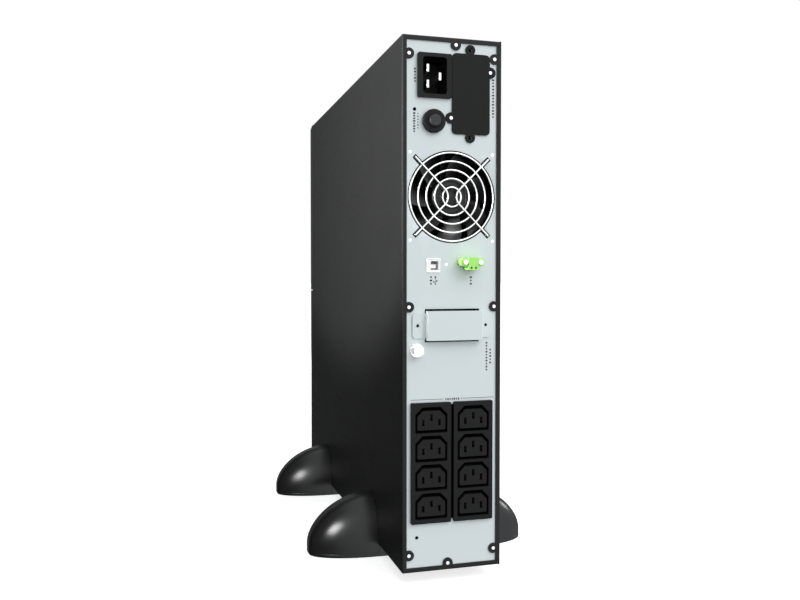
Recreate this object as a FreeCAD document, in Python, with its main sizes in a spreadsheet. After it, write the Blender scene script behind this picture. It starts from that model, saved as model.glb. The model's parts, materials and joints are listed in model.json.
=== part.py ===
"""Uninterruptible power supply, two rack units, standing upright on four feet.

The frame is millimetres: +Z up, the front bezel faces -Y, the rear panel faces +Y,
and the origin is on the floor under the middle of the object.
"""
import FreeCAD
import Part

import math
import os
from types import SimpleNamespace

import Sketcher

Vector = FreeCAD.Vector

SIZES = {
    # Case: folded steel sheet around a grey rear panel.
    "case_width": 86.0, "case_height": 438.0, "case_bottom": 10.0,
    "case_rear": 214.0, "case_front": -206.0, "sheet": 1.2, "bend_radius": 1.6,
    "flange_width": 4.0, "shell_gap": 0.2, "lip_width": 18.0,
    # Screws that hold the cover to the rear panel, in round ears of its flange.
    "ear_radius": 4.3, "ear_offset": 37.0, "ear_high": 432.9, "ear_middle": 228.2,
    "ear_low": 24.5, "ear_top_x": -3.0, "ear_top_z": 442.2, "ear_base_x": 3.4,
    "ear_base_z": 15.7, "screw_head": 3.0, "screw_head_height": 1.8,
    "screw_shank": 1.5, "screw_length": 9.0,
    # Rear panel and its plain holes.
    "panel_half_width": 41.2, "panel_low": 13.0, "panel_high": 445.0,
    "panel_return": 8.0, "return_thick": 1.0, "return_margin": 20.0,
    "spare_hole": 1.5, "spare_low_x": 30.0,
    "spare_low_z": 38.5, "spare_high_x": 32.1, "spare_high_z": 388.5,
    # Sixteen ampere inlet.
    "inlet_x": 15.45, "inlet_z": 416.1, "inlet_width": 28.9, "inlet_height": 36.0,
    "inlet_proud": 2.5, "recess_width": 20.4, "recess_height": 29.9,
    "recess_depth": 25.0, "inlet_wall": 1.6, "blade_width": 2.0,
    "blade_height": 6.5, "blade_pitch": 12.9, "blade_line_x": 5.2,
    "blade_tip": 22.0, "blade_tail": 9.0, "inlet_floor": 2.0, "inlet_corner": 1.5,
    "recess_corner": 2.5,
    # Circuit breaker with a push-to-reset button.
    "breaker_x": 16.1, "breaker_z": 379.4, "breaker_nut_radius": 9.6,
    "breaker_neck": 5.9, "breaker_button_radius": 4.75, "breaker_fit": 0.07,
    "breaker_barrel": 7.4, "breaker_length": 30.0, "breaker_proud": 6.7,
    "breaker_nut_height": 3.6, "breaker_neck_proud": 0.6, "breaker_bore": 14.0,
    "breaker_round": 0.8,
    # Communication card slot: a plate with four ears.
    "slot_x": -16.15, "slot_z": 402.7, "slot_width": 32.9, "slot_height": 65.8,
    "slot_corner": 3.5, "slot_plate": 1.4, "slot_ear_x": -15.5,
    "slot_ear_pitch": 71.5, "slot_ear_mid": 403.05, "slot_ear_radius": 4.2,
    "slot_screw_ear": 4.6, "slot_screw_high_x": -33.1, "slot_screw_high_z": 421.4,
    "slot_screw_low_x": 1.2, "slot_screw_low_z": 382.7, "slot_hole": 1.6,
    "cage_half_width": 15.3, "cage_half_height": 30.8, "cage_depth": 100.0,
    "cage_sheet": 1.0, "slot_screw_length": 8.0,
    # Eighty millimetre fan with its wire guard.
    "fan_z": 318.4, "fan_side": 80.0, "fan_depth": 25.0, "fan_bore": 38.0,
    "fan_pitch": 71.5, "fan_hole": 2.2, "fan_hub": 16.5, "fan_web": 3.0,
    "rotor_radius": 34.6, "rotor_wall": 1.8, "shaft_radius": 1.5,
    "rotor_cup": 17.0, "rotor_gap": 2.5, "blade_thick": 1.6, "root_chord": 16.0,
    "root_pitch": 38.0, "tip_chord": 20.0, "tip_pitch": 24.0, "tip_sweep": -3.0,
    "fan_corner": 4.0, "fan_rim": 4.0, "fan_waist": 56.0, "web_width": 4.0,
    "post_wall": 1.4, "post_height": 10.0, "bearing_fit": 0.05, "bearing_radius": 3.0,
    "root_sink": 0.8, "shaft_clear": 0.5, "guard_wire": 0.8, "guard_notch_start": 23.6,
    "guard_first_ring": 8.0, "guard_ring_step": 7.07, "guard_bend": 8.9,
    "guard_reach": 31.4, "guard_notch": 4.2, "guard_notch_end": 32.6,
    # Signal sockets.
    "usb_x": 16.15, "usb_z": 262.15, "usb_width": 11.9, "usb_height": 11.3,
    "usb_depth": 16.0, "usb_wall": 0.5, "usb_proud": 0.6, "usb_mouth_x": -1.1,
    "usb_mouth_width": 6.4, "usb_mouth_height": 7.0, "usb_mouth_floor": 4.0,
    "usb_tongue_x": 0.5, "usb_tongue_z": -0.7, "usb_tongue_width": 4.4,
    "usb_tongue_height": 3.2, "usb_set_back": 0.3, "comm_screw_x": 4.8, "comm_screw_z": 263.1,
    "comm_screw_head": 3.5, "comm_slot": 0.8, "comm_board_low": 254.8,
    "comm_board_left": -34.0, "comm_board_right": 26.0, "comm_board_front": 150.0,
    "comm_board_back": 206.0,
    # Shut-off connector: a socket in the panel and the plug that pulls out of it.
    "epo_x": -15.05, "epo_z": 263.5, "epo_pitch": 13.0, "epo_lug": 3.7,
    "epo_lug_raise": 1.35, "epo_lug_length": 8.0, "epo_body_width": 8.6,
    "epo_height": 10.1, "epo_corner": 0.6, "epo_socket_width": 9.6,
    "epo_socket_height": 9.1, "epo_socket_back": 200.0, "epo_plug_length": 10.0,
    "epo_nose_width": 7.0, "epo_nose_height": 6.6, "epo_nose_length": 6.0,
    "epo_clear": 0.3, "epo_port_pitch": 3.9, "epo_port_drop": 3.3,
    "epo_port": 0.9, "epo_port_depth": 5.0, "epo_screw_head": 2.1,
    "epo_screw_height": 1.4, "epo_screw_shank": 1.3,
    # Hat-section cover over the battery extension connector.
    "bridge_x": -1.35, "bridge_z": 212.9, "bridge_height": 24.2, "bridge_end": 34.1,
    "bridge_top": 23.95, "bridge_rise": 6.1, "bridge_flange_height": 20.6,
    "bridge_hole_x": 29.6, "bridge_hole": 1.35, "bridge_corner": 3.0,
    "bridge_fold": 0.8, "window_x": -0.35, "window_half_width": 23.65,
    "window_height_open": 27.2, "connector_back": 194.0, "connector_width": 40.0,
    "connector_height": 18.0, "connector_corner": 1.5, "port_x": 10.0,
    "port_width": 15.0, "port_height": 12.0, "port_corner": 1.0, "port_depth": 12.0,
    # Earth screw.
    "earth_x": 30.3, "earth_z": 192.8, "earth_hex": 4.8, "earth_head": 5.5,
    "earth_washer": 5.6, "earth_shank": 2.0, "earth_length": 8.0,
    # Two outlet banks of four outlets.
    "bank_x": 18.3, "bank_width": 34.3, "bank_height": 99.5, "bank_z": 100.05,
    "bank_proud": 2.6, "bank_depth": 26.0, "bank_body_width": 30.0,
    "outlet_pitch": 23.67, "outlet_first_z": 64.6, "groove_width": 27.6,
    "groove_height": 21.4, "groove_chamfer": 6.0, "core_width": 23.9,
    "core_height": 15.7, "core_chamfer": 4.6, "groove_depth": 16.0,
    "slot_spacing": 7.0, "slot_raise": 4.0, "contact_slot_width": 2.2,
    "contact_slot_height": 5.5, "contact_thick": 1.2, "contact_height": 4.6,
    "contact_length": 11.0, "core_drop": 0.3, "outlet_round": 1.0, "bank_corner": 1.0,
    "bank_lap": 2.0,
    # Stand: four halves, each a dome with a plate under the case.
    "dome_reach": 60.5, "dome_half_length": 28.0, "dome_height": 53.2,
    "dome_rim": 8.5, "dome_fullness": 1.8, "dome_band": 8.0, "plate_seam": 0.15,
    "stand_rear_y": 111.0, "stand_front_y": -108.0,
    # Frame sheets inside.
    "frame_sheet": 1.2, "partition_z": 228.5, "partition_back": 160.0,
    "partition_fold": 14.0, "cable_hole": 9.0, "cable_hole_x": 20.0, "cable_hole_y": 120.0,
    "bay_half_width": 35.0, "bay_high": 218.0, "upper_bay_z": 340.0,
    "upper_bay_width": 64.0, "upper_bay_height": 160.0, "thumb_thread": 2.0,
    # Battery pack.
    "tray_half_width": 34.5, "tray_low": 13.0, "tray_sheet": 1.2,
    "tray_back": 107.2, "tray_wall_high": 122.0, "tray_plate_half": 39.0,
    "tray_plate_high": 231.0, "battery_width": 65.0, "battery_length": 151.0,
    "battery_height": 94.0, "battery_gap": 2.0, "battery_front": -199.0,
    "battery_corner": 2.5, "terminal_height": 6.0, "terminal_width": 6.35,
    "terminal_thick": 0.8, "terminal_x": 20.0, "shelf_low": 115.0,
    "thumb_radius": 6.0, "thumb_length": 8.0, "thumb_x": 28.0, "thumb_z": 225.2,
    "thumb_hole": 2.4, "thumb_shank": 1.95, "thumb_screw_reach": 2.8, "tray_clear": 0.3,
    "tray_plate_low": 14.0, "lid_margin": 6.0, "lid_set_back": 23.0, "lid_depth": 2.0,
    "terminal_y": 10.0,
    # Power electronics.
    "board_x": -37.4, "board_thick": 1.6, "board_front": -60.0,
    "board_back": 180.0, "board_low": 236.0, "board_high": 440.0,
    "standoff_radius": 3.0, "standoff_inset": 10.0, "capacitor_y": -25.0,
    "capacitor_z": 277.0, "capacitor_pitch": 30.0, "relay_y": 60.0, "relay_low": 246.0,
    "relay_pitch": 18.0, "sink_low": 328.0, "sink_pitch": 56.0, "sink_y": 8.0,
    "fin_pitch": 6.0, "fin_start": 1.0, "capacitor_radius": 12.5, "capacitor_length": 45.0,
    "relay_length": 28.0, "relay_width": 12.5, "relay_height": 25.0,
    "sink_length": 90.0, "sink_base": 4.0, "sink_height": 40.0,
    "sink_reach": 46.0, "fin_thick": 1.6, "core_length": 100.0,
    "core_side": 84.0, "core_stack": 60.0, "core_window": 17.0,
    "core_window_height": 50.0, "core_front": -192.0, "core_low": 250.0,
    "winding_bulge": 5.0, "winding_clear": 0.4,
    # Front: bezel, battery door, turning display, keys.
    "bezel_front": -222.0, "bezel_wall": 2.5, "bezel_drop": 4.5,
    "bezel_low": 236.0, "door_high": 235.0, "display_z": 342.0,
    "display_radius": 35.0, "display_fit": 0.08, "display_proud": 1.2,
    "display_collar": 37.5, "display_boss": 22.0, "window_width": 46.0,
    "window_tall": 26.0, "window_raise": 9.0, "key_radius": 4.0,
    "key_clear": 0.3, "key_pitch": 12.0, "key_drop": 19.0, "key_proud": 0.8,
    "key_length": 8.0, "power_z": 284.0, "power_radius": 7.0,
    "vent_width": 60.0, "vent_height": 3.0, "vent_pitch": 6.0, "vent_corner": 1.4,
    "vent_high": 390.0, "vent_middle": 246.0, "vent_low": 40.0, "bezel_round": 3.0,
    "door_floor": 1.0, "grip_drop": 22.0, "grip_width": 40.0, "grip_height": 12.0,
    "display_gap": 0.3, "collar_thick": 3.0, "boss_length": 5.0, "window_depth": 4.2,
    "key_hole_depth": 9.0, "window_clear": 0.1, "window_corner": 2.0, "pane_set_back": 0.2,
    "pane_thick": 1.6, "cells_set_back": 2.0, "cells_margin": 1.5, "cells_thick": 2.2,
    "key_round": 0.5, "power_length": 7.0, "power_collar": 8.5, "power_collar_thick": 1.5,
    "power_round": 0.8,
}


class Size:
    """A length and the spreadsheet expression that it is worked out from."""

    def __init__(self, value, text=None):
        self.value = float(value)
        self.text = "({:.6g})".format(self.value) if text is None else text

    def _join(self, sign, other, value):
        return Size(value, "({} {} {})".format(self.text, sign, other.text))

    def __add__(self, other):
        other = as_size(other)
        return self._join("+", other, self.value + other.value)

    def __sub__(self, other):
        other = as_size(other)
        return self._join("-", other, self.value - other.value)

    def __mul__(self, other):
        other = as_size(other)
        return self._join("*", other, self.value * other.value)

    def __truediv__(self, other):
        other = as_size(other)
        return self._join("/", other, self.value / other.value)

    def __radd__(self, other):
        return as_size(other) + self

    def __rsub__(self, other):
        return as_size(other) - self

    def __rmul__(self, other):
        return as_size(other) * self

    def __neg__(self):
        return as_size(0) - self


def as_size(value):
    """A Size stays as it is, and a plain number becomes one."""
    return value if isinstance(value, Size) else Size(value)


doc = FreeCAD.newDocument("PowerSupply")
sheet = doc.addObject("Spreadsheet::Sheet", "Sizes")
for row, (alias, number) in enumerate(SIZES.items(), start=1):
    sheet.set("A{}".format(row), alias)
    sheet.set("B{}".format(row), str(number))
    sheet.setAlias("B{}".format(row), alias)
doc.recompute()
D = SimpleNamespace(**{alias: Size(number, "Sizes." + alias) for alias, number in SIZES.items()})

# Planes that several pieces share.
HALF = D.case_width / 2
CASE_TOP = D.case_bottom + D.case_height
PANEL_OUT = D.case_rear - D.sheet
PANEL_IN = PANEL_OUT - D.sheet
FRAME_FRONT = D.case_front + 2

NODES = {}


def keep(node, item):
    """Give a finished sub-part its name and list it for export."""
    item.Label = node
    NODES[node] = item
    return item


def bind(item, name, size):
    """Set a property and tie it to the spreadsheet."""
    size = as_size(size)
    setattr(item, name, size.value)
    item.setExpression(name, size.text)


def place(item, x, y, z, rotation=None):
    """Put an item at a point that the spreadsheet gives."""
    point = [as_size(value) for value in (x, y, z)]
    turn = rotation or FreeCAD.Rotation()
    item.Placement = FreeCAD.Placement(Vector(*[size.value for size in point]), turn)
    for side, size in zip("xyz", point):
        item.setExpression("Placement.Base." + side, size.text)


# Sketches, pads and pockets ----------------------------------------------------------

class Outline:
    """Closed outlines, dimensioned in one sketch that lies across an axis at a level."""

    PLANES = {"x": ("YZ_Plane", 1), "y": ("XZ_Plane", -1), "z": ("XY_Plane", 1)}

    def __init__(self, body, name, axis, level):
        role, sign = self.PLANES[axis]
        plane = next(item for item in body.Origin.OriginFeatures if item.Role == role)
        self.axis = axis
        self.sketch = body.newObject("Sketcher::SketchObject", name)
        self.sketch.AttachmentSupport = [(plane, "")]
        self.sketch.MapMode = "FlatFace"
        offset = as_size(level) * sign
        self.sketch.AttachmentOffset = FreeCAD.Placement(Vector(0, 0, offset.value), FreeCAD.Rotation())
        self.sketch.setExpression("AttachmentOffset.Base.z", offset.text)

    def dimension(self, kind, where, size):
        """Add one driven dimension."""
        index = self.sketch.addConstraint(Sketcher.Constraint(kind, *where, size.value))
        self.sketch.setExpression("Constraints[{}]".format(index), size.text)

    def polygon(self, points):
        """A closed chain of straight lines with every corner dimensioned."""
        points = [(as_size(u), as_size(v)) for u, v in points]
        first = self.sketch.GeometryCount
        count = len(points)
        for index, (u, v) in enumerate(points):
            after_u, after_v = points[(index + 1) % count]
            start = Vector(u.value, v.value, 0)
            self.sketch.addGeometry(Part.LineSegment(start, Vector(after_u.value, after_v.value, 0)))
        for index, (u, v) in enumerate(points):
            follower = first + (index + 1) % count
            self.sketch.addConstraint(Sketcher.Constraint("Coincident", first + index, 2, follower, 1))
            self.dimension("DistanceX", (-1, 1, first + index, 1), u)
            self.dimension("DistanceY", (-1, 1, first + index, 1), v)
        return self

    def circle(self, u, v, radius):
        """A circle with its centre and radius dimensioned."""
        u, v, radius = as_size(u), as_size(v), as_size(radius)
        ring = self.sketch.GeometryCount
        self.sketch.addGeometry(Part.Circle(Vector(u.value, v.value, 0), Vector(0, 0, 1), radius.value))
        self.dimension("DistanceX", (-1, 1, ring, 3), u)
        self.dimension("DistanceY", (-1, 1, ring, 3), v)
        self.dimension("Radius", (ring,), radius)
        return self

    def rectangle(self, u, v, width, height):
        """A rectangle about a centre."""
        u, v, width, height = as_size(u), as_size(v), as_size(width), as_size(height)
        left, right = u - width / 2, u + width / 2
        low, high = v - height / 2, v + height / 2
        return self.polygon([(left, low), (right, low), (right, high), (left, high)])

    def rounded(self, u, v, width, height, radius):
        """A rectangle about a centre, with round corners."""
        u, v, radius = as_size(u), as_size(v), as_size(radius)
        width, height = as_size(width), as_size(height)
        left, low = u - width / 2, v - height / 2
        x0, z0, r = left.value, low.value, radius.value
        x1, z1 = x0 + width.value, z0 + height.value
        first = self.sketch.GeometryCount
        ends = [((x0 + r, z0), (x1 - r, z0)), ((x1, z0 + r), (x1, z1 - r)),
                ((x1 - r, z1), (x0 + r, z1)), ((x0, z1 - r), (x0, z0 + r))]
        for start, end in ends:
            self.sketch.addGeometry(Part.LineSegment(Vector(*start, 0), Vector(*end, 0)))
        centres = [(x1 - r, z0 + r), (x1 - r, z1 - r), (x0 + r, z1 - r), (x0 + r, z0 + r)]
        for quarter, centre in enumerate(centres):
            full = Part.Circle(Vector(*centre, 0), Vector(0, 0, 1), r)
            start = math.radians(-90 + 90 * quarter)
            self.sketch.addGeometry(Part.ArcOfCircle(full, start, start + math.pi / 2))
        for side in range(4):
            line, corner, after = first + side, first + 4 + side, first + (side + 1) % 4
            self.sketch.addConstraint(Sketcher.Constraint("Tangent", line, 2, corner, 1))
            self.sketch.addConstraint(Sketcher.Constraint("Tangent", corner, 2, after, 1))
        for line, kind in enumerate(("Horizontal", "Vertical", "Horizontal", "Vertical")):
            self.sketch.addConstraint(Sketcher.Constraint(kind, first + line))
        for corner in range(1, 4):
            self.sketch.addConstraint(Sketcher.Constraint("Equal", first + 4, first + 4 + corner))
        self.dimension("Radius", (first + 4,), radius)
        self.dimension("DistanceX", (first + 3, 1, first + 1, 1), width)
        self.dimension("DistanceY", (first, 1, first + 2, 1), height)
        self.dimension("DistanceX", (-1, 1, first + 3, 1), left)
        self.dimension("DistanceY", (-1, 1, first, 1), low)
        return self


def new_body(name):
    return doc.addObject("PartDesign::Body", name)


def pad(body, outline, length):
    """Raise an outline along the positive direction of its axis."""
    feature = body.newObject("PartDesign::Pad", outline.sketch.Name + "Pad")
    feature.Profile = outline.sketch
    bind(feature, "Length", length)
    feature.Reversed = outline.axis == "y"
    outline.sketch.Visibility = False
    return feature


def pocket(body, outline, depth):
    """Cut an outline along the positive direction of its axis, and make sure that it cuts."""
    doc.recompute()
    before = body.Shape.Volume
    feature = body.newObject("PartDesign::Pocket", outline.sketch.Name + "Pocket")
    feature.Profile = outline.sketch
    bind(feature, "Length", depth)
    feature.Reversed = outline.axis != "y"
    doc.recompute()
    if body.Shape.Volume > before - 0.01:
        raise ValueError("{} cuts nothing".format(feature.Name))
    return feature


def repeat(body, feature, direction, spacing, count):
    """Repeat one feature in a straight row."""
    pattern = body.newObject("PartDesign::LinearPattern", feature.Name + "Row")
    pattern.Originals = [feature]
    axis = next(item for item in body.Origin.OriginFeatures if item.Role == direction + "_Axis")
    pattern.Direction = (axis, [""])
    bind(pattern, "Length", as_size(spacing) * (count - 1))
    pattern.Occurrences = count
    body.Tip = pattern
    return pattern


def turn_about(body, feature, axis_name, count):
    """Repeat one feature around an axis of the body."""
    pattern = body.newObject("PartDesign::PolarPattern", feature.Name + "Ring")
    pattern.Originals = [feature]
    axis = next(item for item in body.Origin.OriginFeatures if item.Role == axis_name + "_Axis")
    pattern.Axis = (axis, [""])
    pattern.Angle = 360
    pattern.Occurrences = count
    body.Tip = pattern
    return pattern


def round_edges(body, radius, chosen):
    """Fillet the edges of a body whose bounding box passes a test."""
    doc.recompute()
    base = body.Tip
    names = []
    for index, edge in enumerate(base.Shape.Edges, start=1):
        if chosen(edge.BoundBox):
            names.append("Edge{}".format(index))
    feature = body.newObject("PartDesign::Fillet", body.Name + "Round{}".format(len(body.Group)))
    feature.Base = (base, names)
    bind(feature, "Radius", radius)
    body.Tip = feature
    return feature


# Primitives ----------------------------------------------------------------------------

TURNS = {"x": FreeCAD.Rotation(Vector(0, 1, 0), 90), "y": FreeCAD.Rotation(Vector(1, 0, 0), -90),
         "z": FreeCAD.Rotation()}


def block(name, x, y, z):
    """A box from its low and high places along each axis."""
    item = doc.addObject("Part::Box", name)
    spans = [(as_size(low), as_size(high)) for low, high in (x, y, z)]
    for prop, (low, high) in zip(("Length", "Width", "Height"), spans):
        bind(item, prop, high - low)
    place(item, *[low for low, high in spans])
    return item


def rod(name, radius, start, length, axis="y"):
    """A cylinder that grows from a point along an axis."""
    item = doc.addObject("Part::Cylinder", name)
    bind(item, "Radius", radius)
    bind(item, "Height", length)
    place(item, *start, rotation=TURNS[axis])
    return item


def fuse(name, items):
    item = doc.addObject("Part::MultiFuse", name)
    item.Shapes = items
    return item


def gather(name, items):
    """Separate solids of one kind in one sub-part."""
    item = doc.addObject("Part::Compound", name)
    item.Links = items
    return item


def cut(name, base, tool):
    item = doc.addObject("Part::Cut", name)
    item.Base = base
    item.Tool = tool
    return item


def pan_screw(name, x, z, face, head=None, length=None):
    """A pan-head screw whose head rests on a rear face."""
    head = head or D.screw_head
    length = length or D.screw_length
    top = rod(name + "Head", head, (x, face, z), D.screw_head_height)
    shank = rod(name + "Shank", D.screw_shank, (x, as_size(face) - length, z), length + 0.2)
    return fuse(name, [top, shank])


# Case -----------------------------------------------------------------------------------

COVER_EARS = [(D.ear_offset, D.ear_high), (D.ear_offset, D.ear_middle), (D.ear_offset, D.ear_low),
              (D.ear_top_x, D.ear_top_z), (D.ear_base_x, D.ear_base_z)]
BASE_EARS = [(-D.ear_offset, D.ear_high), (-D.ear_offset, D.ear_middle), (-D.ear_offset, D.ear_low)]


def cover_shell():
    """Side, top and bottom of the case in one bent sheet, with a flange and ears at the rear."""
    body = new_body("CoverShell")
    seam = D.sheet + D.shell_gap - HALF
    inner = HALF - D.sheet
    low, high = D.case_bottom + D.sheet, CASE_TOP - D.sheet
    wrap = Outline(body, "CoverWrap", "y", D.case_front)
    wrap.polygon([(seam, CASE_TOP), (HALF, CASE_TOP), (HALF, D.case_bottom), (seam, D.case_bottom),
                  (seam, low), (inner, low), (inner, high), (seam, high)])
    pad(body, wrap, D.case_rear - D.case_front)
    mid_wall = HALF - D.sheet / 2
    edge = HALF - D.flange_width
    flange = Outline(body, "CoverFlange", "y", PANEL_OUT)
    flange.polygon([(seam, CASE_TOP - D.sheet / 2), (mid_wall, CASE_TOP - D.sheet / 2),
                    (mid_wall, D.case_bottom + D.sheet / 2), (seam, D.case_bottom + D.sheet / 2),
                    (seam, D.case_bottom + D.flange_width), (edge, D.case_bottom + D.flange_width),
                    (edge, CASE_TOP - D.flange_width), (seam, CASE_TOP - D.flange_width)])
    pad(body, flange, D.sheet)
    round_edges(body, D.bend_radius, lambda box: (
        (box.YLength > 300 and box.XMin > HALF.value - 0.1
         and (box.ZMin > CASE_TOP.value - 0.1 or box.ZMax < D.case_bottom.value + 0.1))
        or (box.YMin > D.case_rear.value - 0.1 and box.XMin > HALF.value - 0.1)
        or (box.YMin > D.case_rear.value - 0.1 and box.XLength > 60
            and (box.ZMin > CASE_TOP.value - 0.1 or box.ZMax < D.case_bottom.value + 0.1))))
    ears = Outline(body, "CoverEars", "y", PANEL_OUT)
    for x, z in COVER_EARS:
        ears.circle(x, z, D.ear_radius)
    pad(body, ears, D.sheet)
    holes = Outline(body, "CoverHoles", "y", PANEL_OUT)
    for x, z in COVER_EARS:
        holes.circle(x, z, D.screw_shank)
    pocket(body, holes, D.sheet)
    keep("cover_shell", body)


def base_shell():
    """The opposite side of the case, with folded lips under the cover's top and bottom."""
    body = new_body("BaseShell")
    inner = D.sheet - HALF
    lip_high = CASE_TOP - D.sheet - D.shell_gap
    lip_low = D.case_bottom + D.sheet + D.shell_gap
    tip = inner + D.lip_width
    wall = Outline(body, "BaseWall", "y", D.case_front)
    wall.rectangle(-HALF + D.sheet / 2, (CASE_TOP + D.case_bottom) / 2, D.sheet, D.case_height)
    pad(body, wall, D.case_rear - D.case_front)
    lips = Outline(body, "BaseLips", "y", D.case_front)
    for low, high in ((lip_low, lip_low + D.sheet), (lip_high - D.sheet, lip_high)):
        lips.polygon([(inner - D.sheet / 2, low), (tip, low), (tip, high), (inner - D.sheet / 2, high)])
    pad(body, lips, PANEL_IN - D.case_front - D.shell_gap)
    flange = Outline(body, "BaseFlange", "y", PANEL_OUT)
    inset = D.flange_width + D.shell_gap
    wall_middle, tip = -HALF + D.sheet / 2, D.flange_width - HALF
    flange.polygon([(wall_middle, D.case_bottom + inset), (tip, D.case_bottom + inset),
                    (tip, CASE_TOP - inset), (wall_middle, CASE_TOP - inset)])
    pad(body, flange, D.sheet)
    round_edges(body, D.bend_radius / 2, lambda box: (
        box.XMax < -HALF.value + 0.1 and (box.YMin > D.case_rear.value - 0.1 or (
            box.YLength > 300
            and (box.ZMin > CASE_TOP.value - 0.1 or box.ZMax < D.case_bottom.value + 0.1)))))
    ears = Outline(body, "BaseEars", "y", PANEL_OUT)
    for x, z in BASE_EARS:
        ears.circle(x, z, D.ear_radius)
    pad(body, ears, D.sheet)
    holes = Outline(body, "BaseHoles", "y", PANEL_OUT)
    for x, z in BASE_EARS:
        holes.circle(x, z, D.screw_shank)
    pocket(body, holes, D.sheet)
    keep("base_shell", body)


def cover_screws():
    screws = []
    for index, (x, z) in enumerate(COVER_EARS + BASE_EARS):
        screws.append(pan_screw("CoverScrew{}".format(index), x, z, D.case_rear))
    keep("cover_screws", gather("CoverScrews", screws))


def outlet_heights():
    return [D.outlet_first_z + D.outlet_pitch * index for index in range(4)]


def fan_screw_places():
    half = D.fan_pitch / 2
    return [(side * half, D.fan_z + rise * half) for side in (-1, 1) for rise in (-1, 1)]


def rear_panel():
    """Grey panel behind the flange, with an opening for each thing that comes through it."""
    body = new_body("RearPanel")
    middle = (D.panel_low + D.panel_high) / 2
    plate = Outline(body, "PanelPlate", "y", PANEL_IN)
    plate.rectangle(0, middle, D.panel_half_width * 2, D.panel_high - D.panel_low)
    pad(body, plate, D.sheet)
    returns = Outline(body, "PanelReturns", "y", PANEL_IN - D.panel_return)
    for side in (-1, 1):
        returns.rectangle(side * (D.panel_half_width - D.return_thick / 2), middle, D.return_thick,
                          D.panel_high - D.panel_low - D.return_margin * 2)
    pad(body, returns, D.panel_return)
    bore = Outline(body, "PanelFanBore", "y", PANEL_IN)
    bore.circle(0, D.fan_z, D.fan_bore)
    pocket(body, bore, D.sheet)
    notches = Outline(body, "PanelNotches", "y", PANEL_IN)
    across = D.guard_notch / 2 * math.sqrt(0.5)
    inside = D.guard_notch_start
    for side in (-1, 1):
        for rise in (-1, 1):
            corners = [(inside - across, inside + across), (inside + across, inside - across),
                       (D.guard_notch_end + across, D.guard_notch_end - across),
                       (D.guard_notch_end - across, D.guard_notch_end + across)]
            notches.polygon([(side * u, D.fan_z + rise * v) for u, v in corners])
    pocket(body, notches, D.sheet)
    windows = Outline(body, "PanelWindows", "y", PANEL_IN)
    windows.rectangle(D.inlet_x, D.inlet_z, D.recess_width + D.inlet_wall * 2,
                      D.recess_height + D.inlet_wall * 2)
    windows.circle(D.breaker_x, D.breaker_z, D.breaker_neck)
    windows.rectangle(D.slot_x, D.slot_z, (D.cage_half_width - D.cage_sheet) * 2,
                      (D.cage_half_height - D.cage_sheet) * 2)
    windows.rectangle(D.usb_x, D.usb_z, D.usb_width, D.usb_height)
    windows.rectangle(D.epo_x, D.epo_z, D.epo_socket_width, D.epo_socket_height)
    windows.rectangle(D.window_x, D.bridge_z, D.window_half_width * 2, D.window_height_open)
    windows.rectangle(0, D.bank_z, D.bank_x * 2 + D.bank_body_width, D.bank_height - D.bank_lap * 2)
    windows.circle(D.spare_low_x, D.spare_low_z, D.spare_hole)
    windows.circle(D.spare_high_x, D.spare_high_z, D.spare_hole)
    pocket(body, windows, D.sheet)
    holes = Outline(body, "PanelScrewHoles", "y", PANEL_IN)
    places = COVER_EARS + BASE_EARS + fan_screw_places() + [
        (D.slot_screw_high_x, D.slot_screw_high_z), (D.slot_screw_low_x, D.slot_screw_low_z),
        (D.comm_screw_x, D.comm_screw_z)]
    for x, z in places:
        holes.circle(x, z, D.screw_shank)
    holes.circle(D.earth_x, D.earth_z, D.earth_shank)
    for side in (-1, 1):
        holes.circle(side * D.bridge_hole_x, D.bridge_z, D.bridge_hole)
        holes.circle(D.slot_ear_x, D.slot_ear_mid + side * D.slot_ear_pitch / 2, D.slot_hole)
    pocket(body, holes, D.sheet)
    keep("rear_panel", body)


# Stand ----------------------------------------------------------------------------------

def dome_outline():
    """Closed face of a dome's section: a superellipse over a short upright rim."""
    reach, height, rim = D.dome_reach.value, D.dome_height.value, D.dome_rim.value
    power = 2 / D.dome_fullness.value
    steps = 12
    profile = []
    for step in range(steps + 1):
        angle = math.pi / 2 * step / steps
        out = reach * max(math.cos(angle), 0) ** power if step < steps else 0
        profile.append(Vector(out, 0, rim + (height - rim) * math.sin(angle) ** power))
    crown = Part.BSplineCurve()
    crown.interpolate(profile, InitialTangent=Vector(0, 0, 1), FinalTangent=Vector(-1, 0, 0))
    floor = Part.LineSegment(Vector(0, 0, 0), Vector(reach, 0, 0))
    edge = Part.LineSegment(Vector(reach, 0, 0), Vector(reach, 0, rim))
    stem = Part.LineSegment(Vector(0, 0, height), Vector(0, 0, 0))
    return Part.Face(Part.Wire([floor.toShape(), edge.toShape(), crown.toShape(), stem.toShape()]))


def dome_shape():
    """Two squeezed quarter turns of the section, either side of a flat band along X."""
    section = dome_outline()
    half_band = D.dome_band.value / 2
    squeeze = FreeCAD.Matrix()
    squeeze.A22 = (D.dome_half_length.value - half_band) / D.dome_reach.value
    quarter = section.revolve(Vector(0, 0, 0), Vector(0, 0, 1), 90).transformGeometry(squeeze)
    quarter.translate(Vector(0, half_band, 0))
    band = section.extrude(Vector(0, half_band, 0))
    half = band.fuse(quarter)
    return half.fuse(half.mirror(Vector(0, 0, 0), Vector(0, 1, 0))).removeSplitter()


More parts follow.
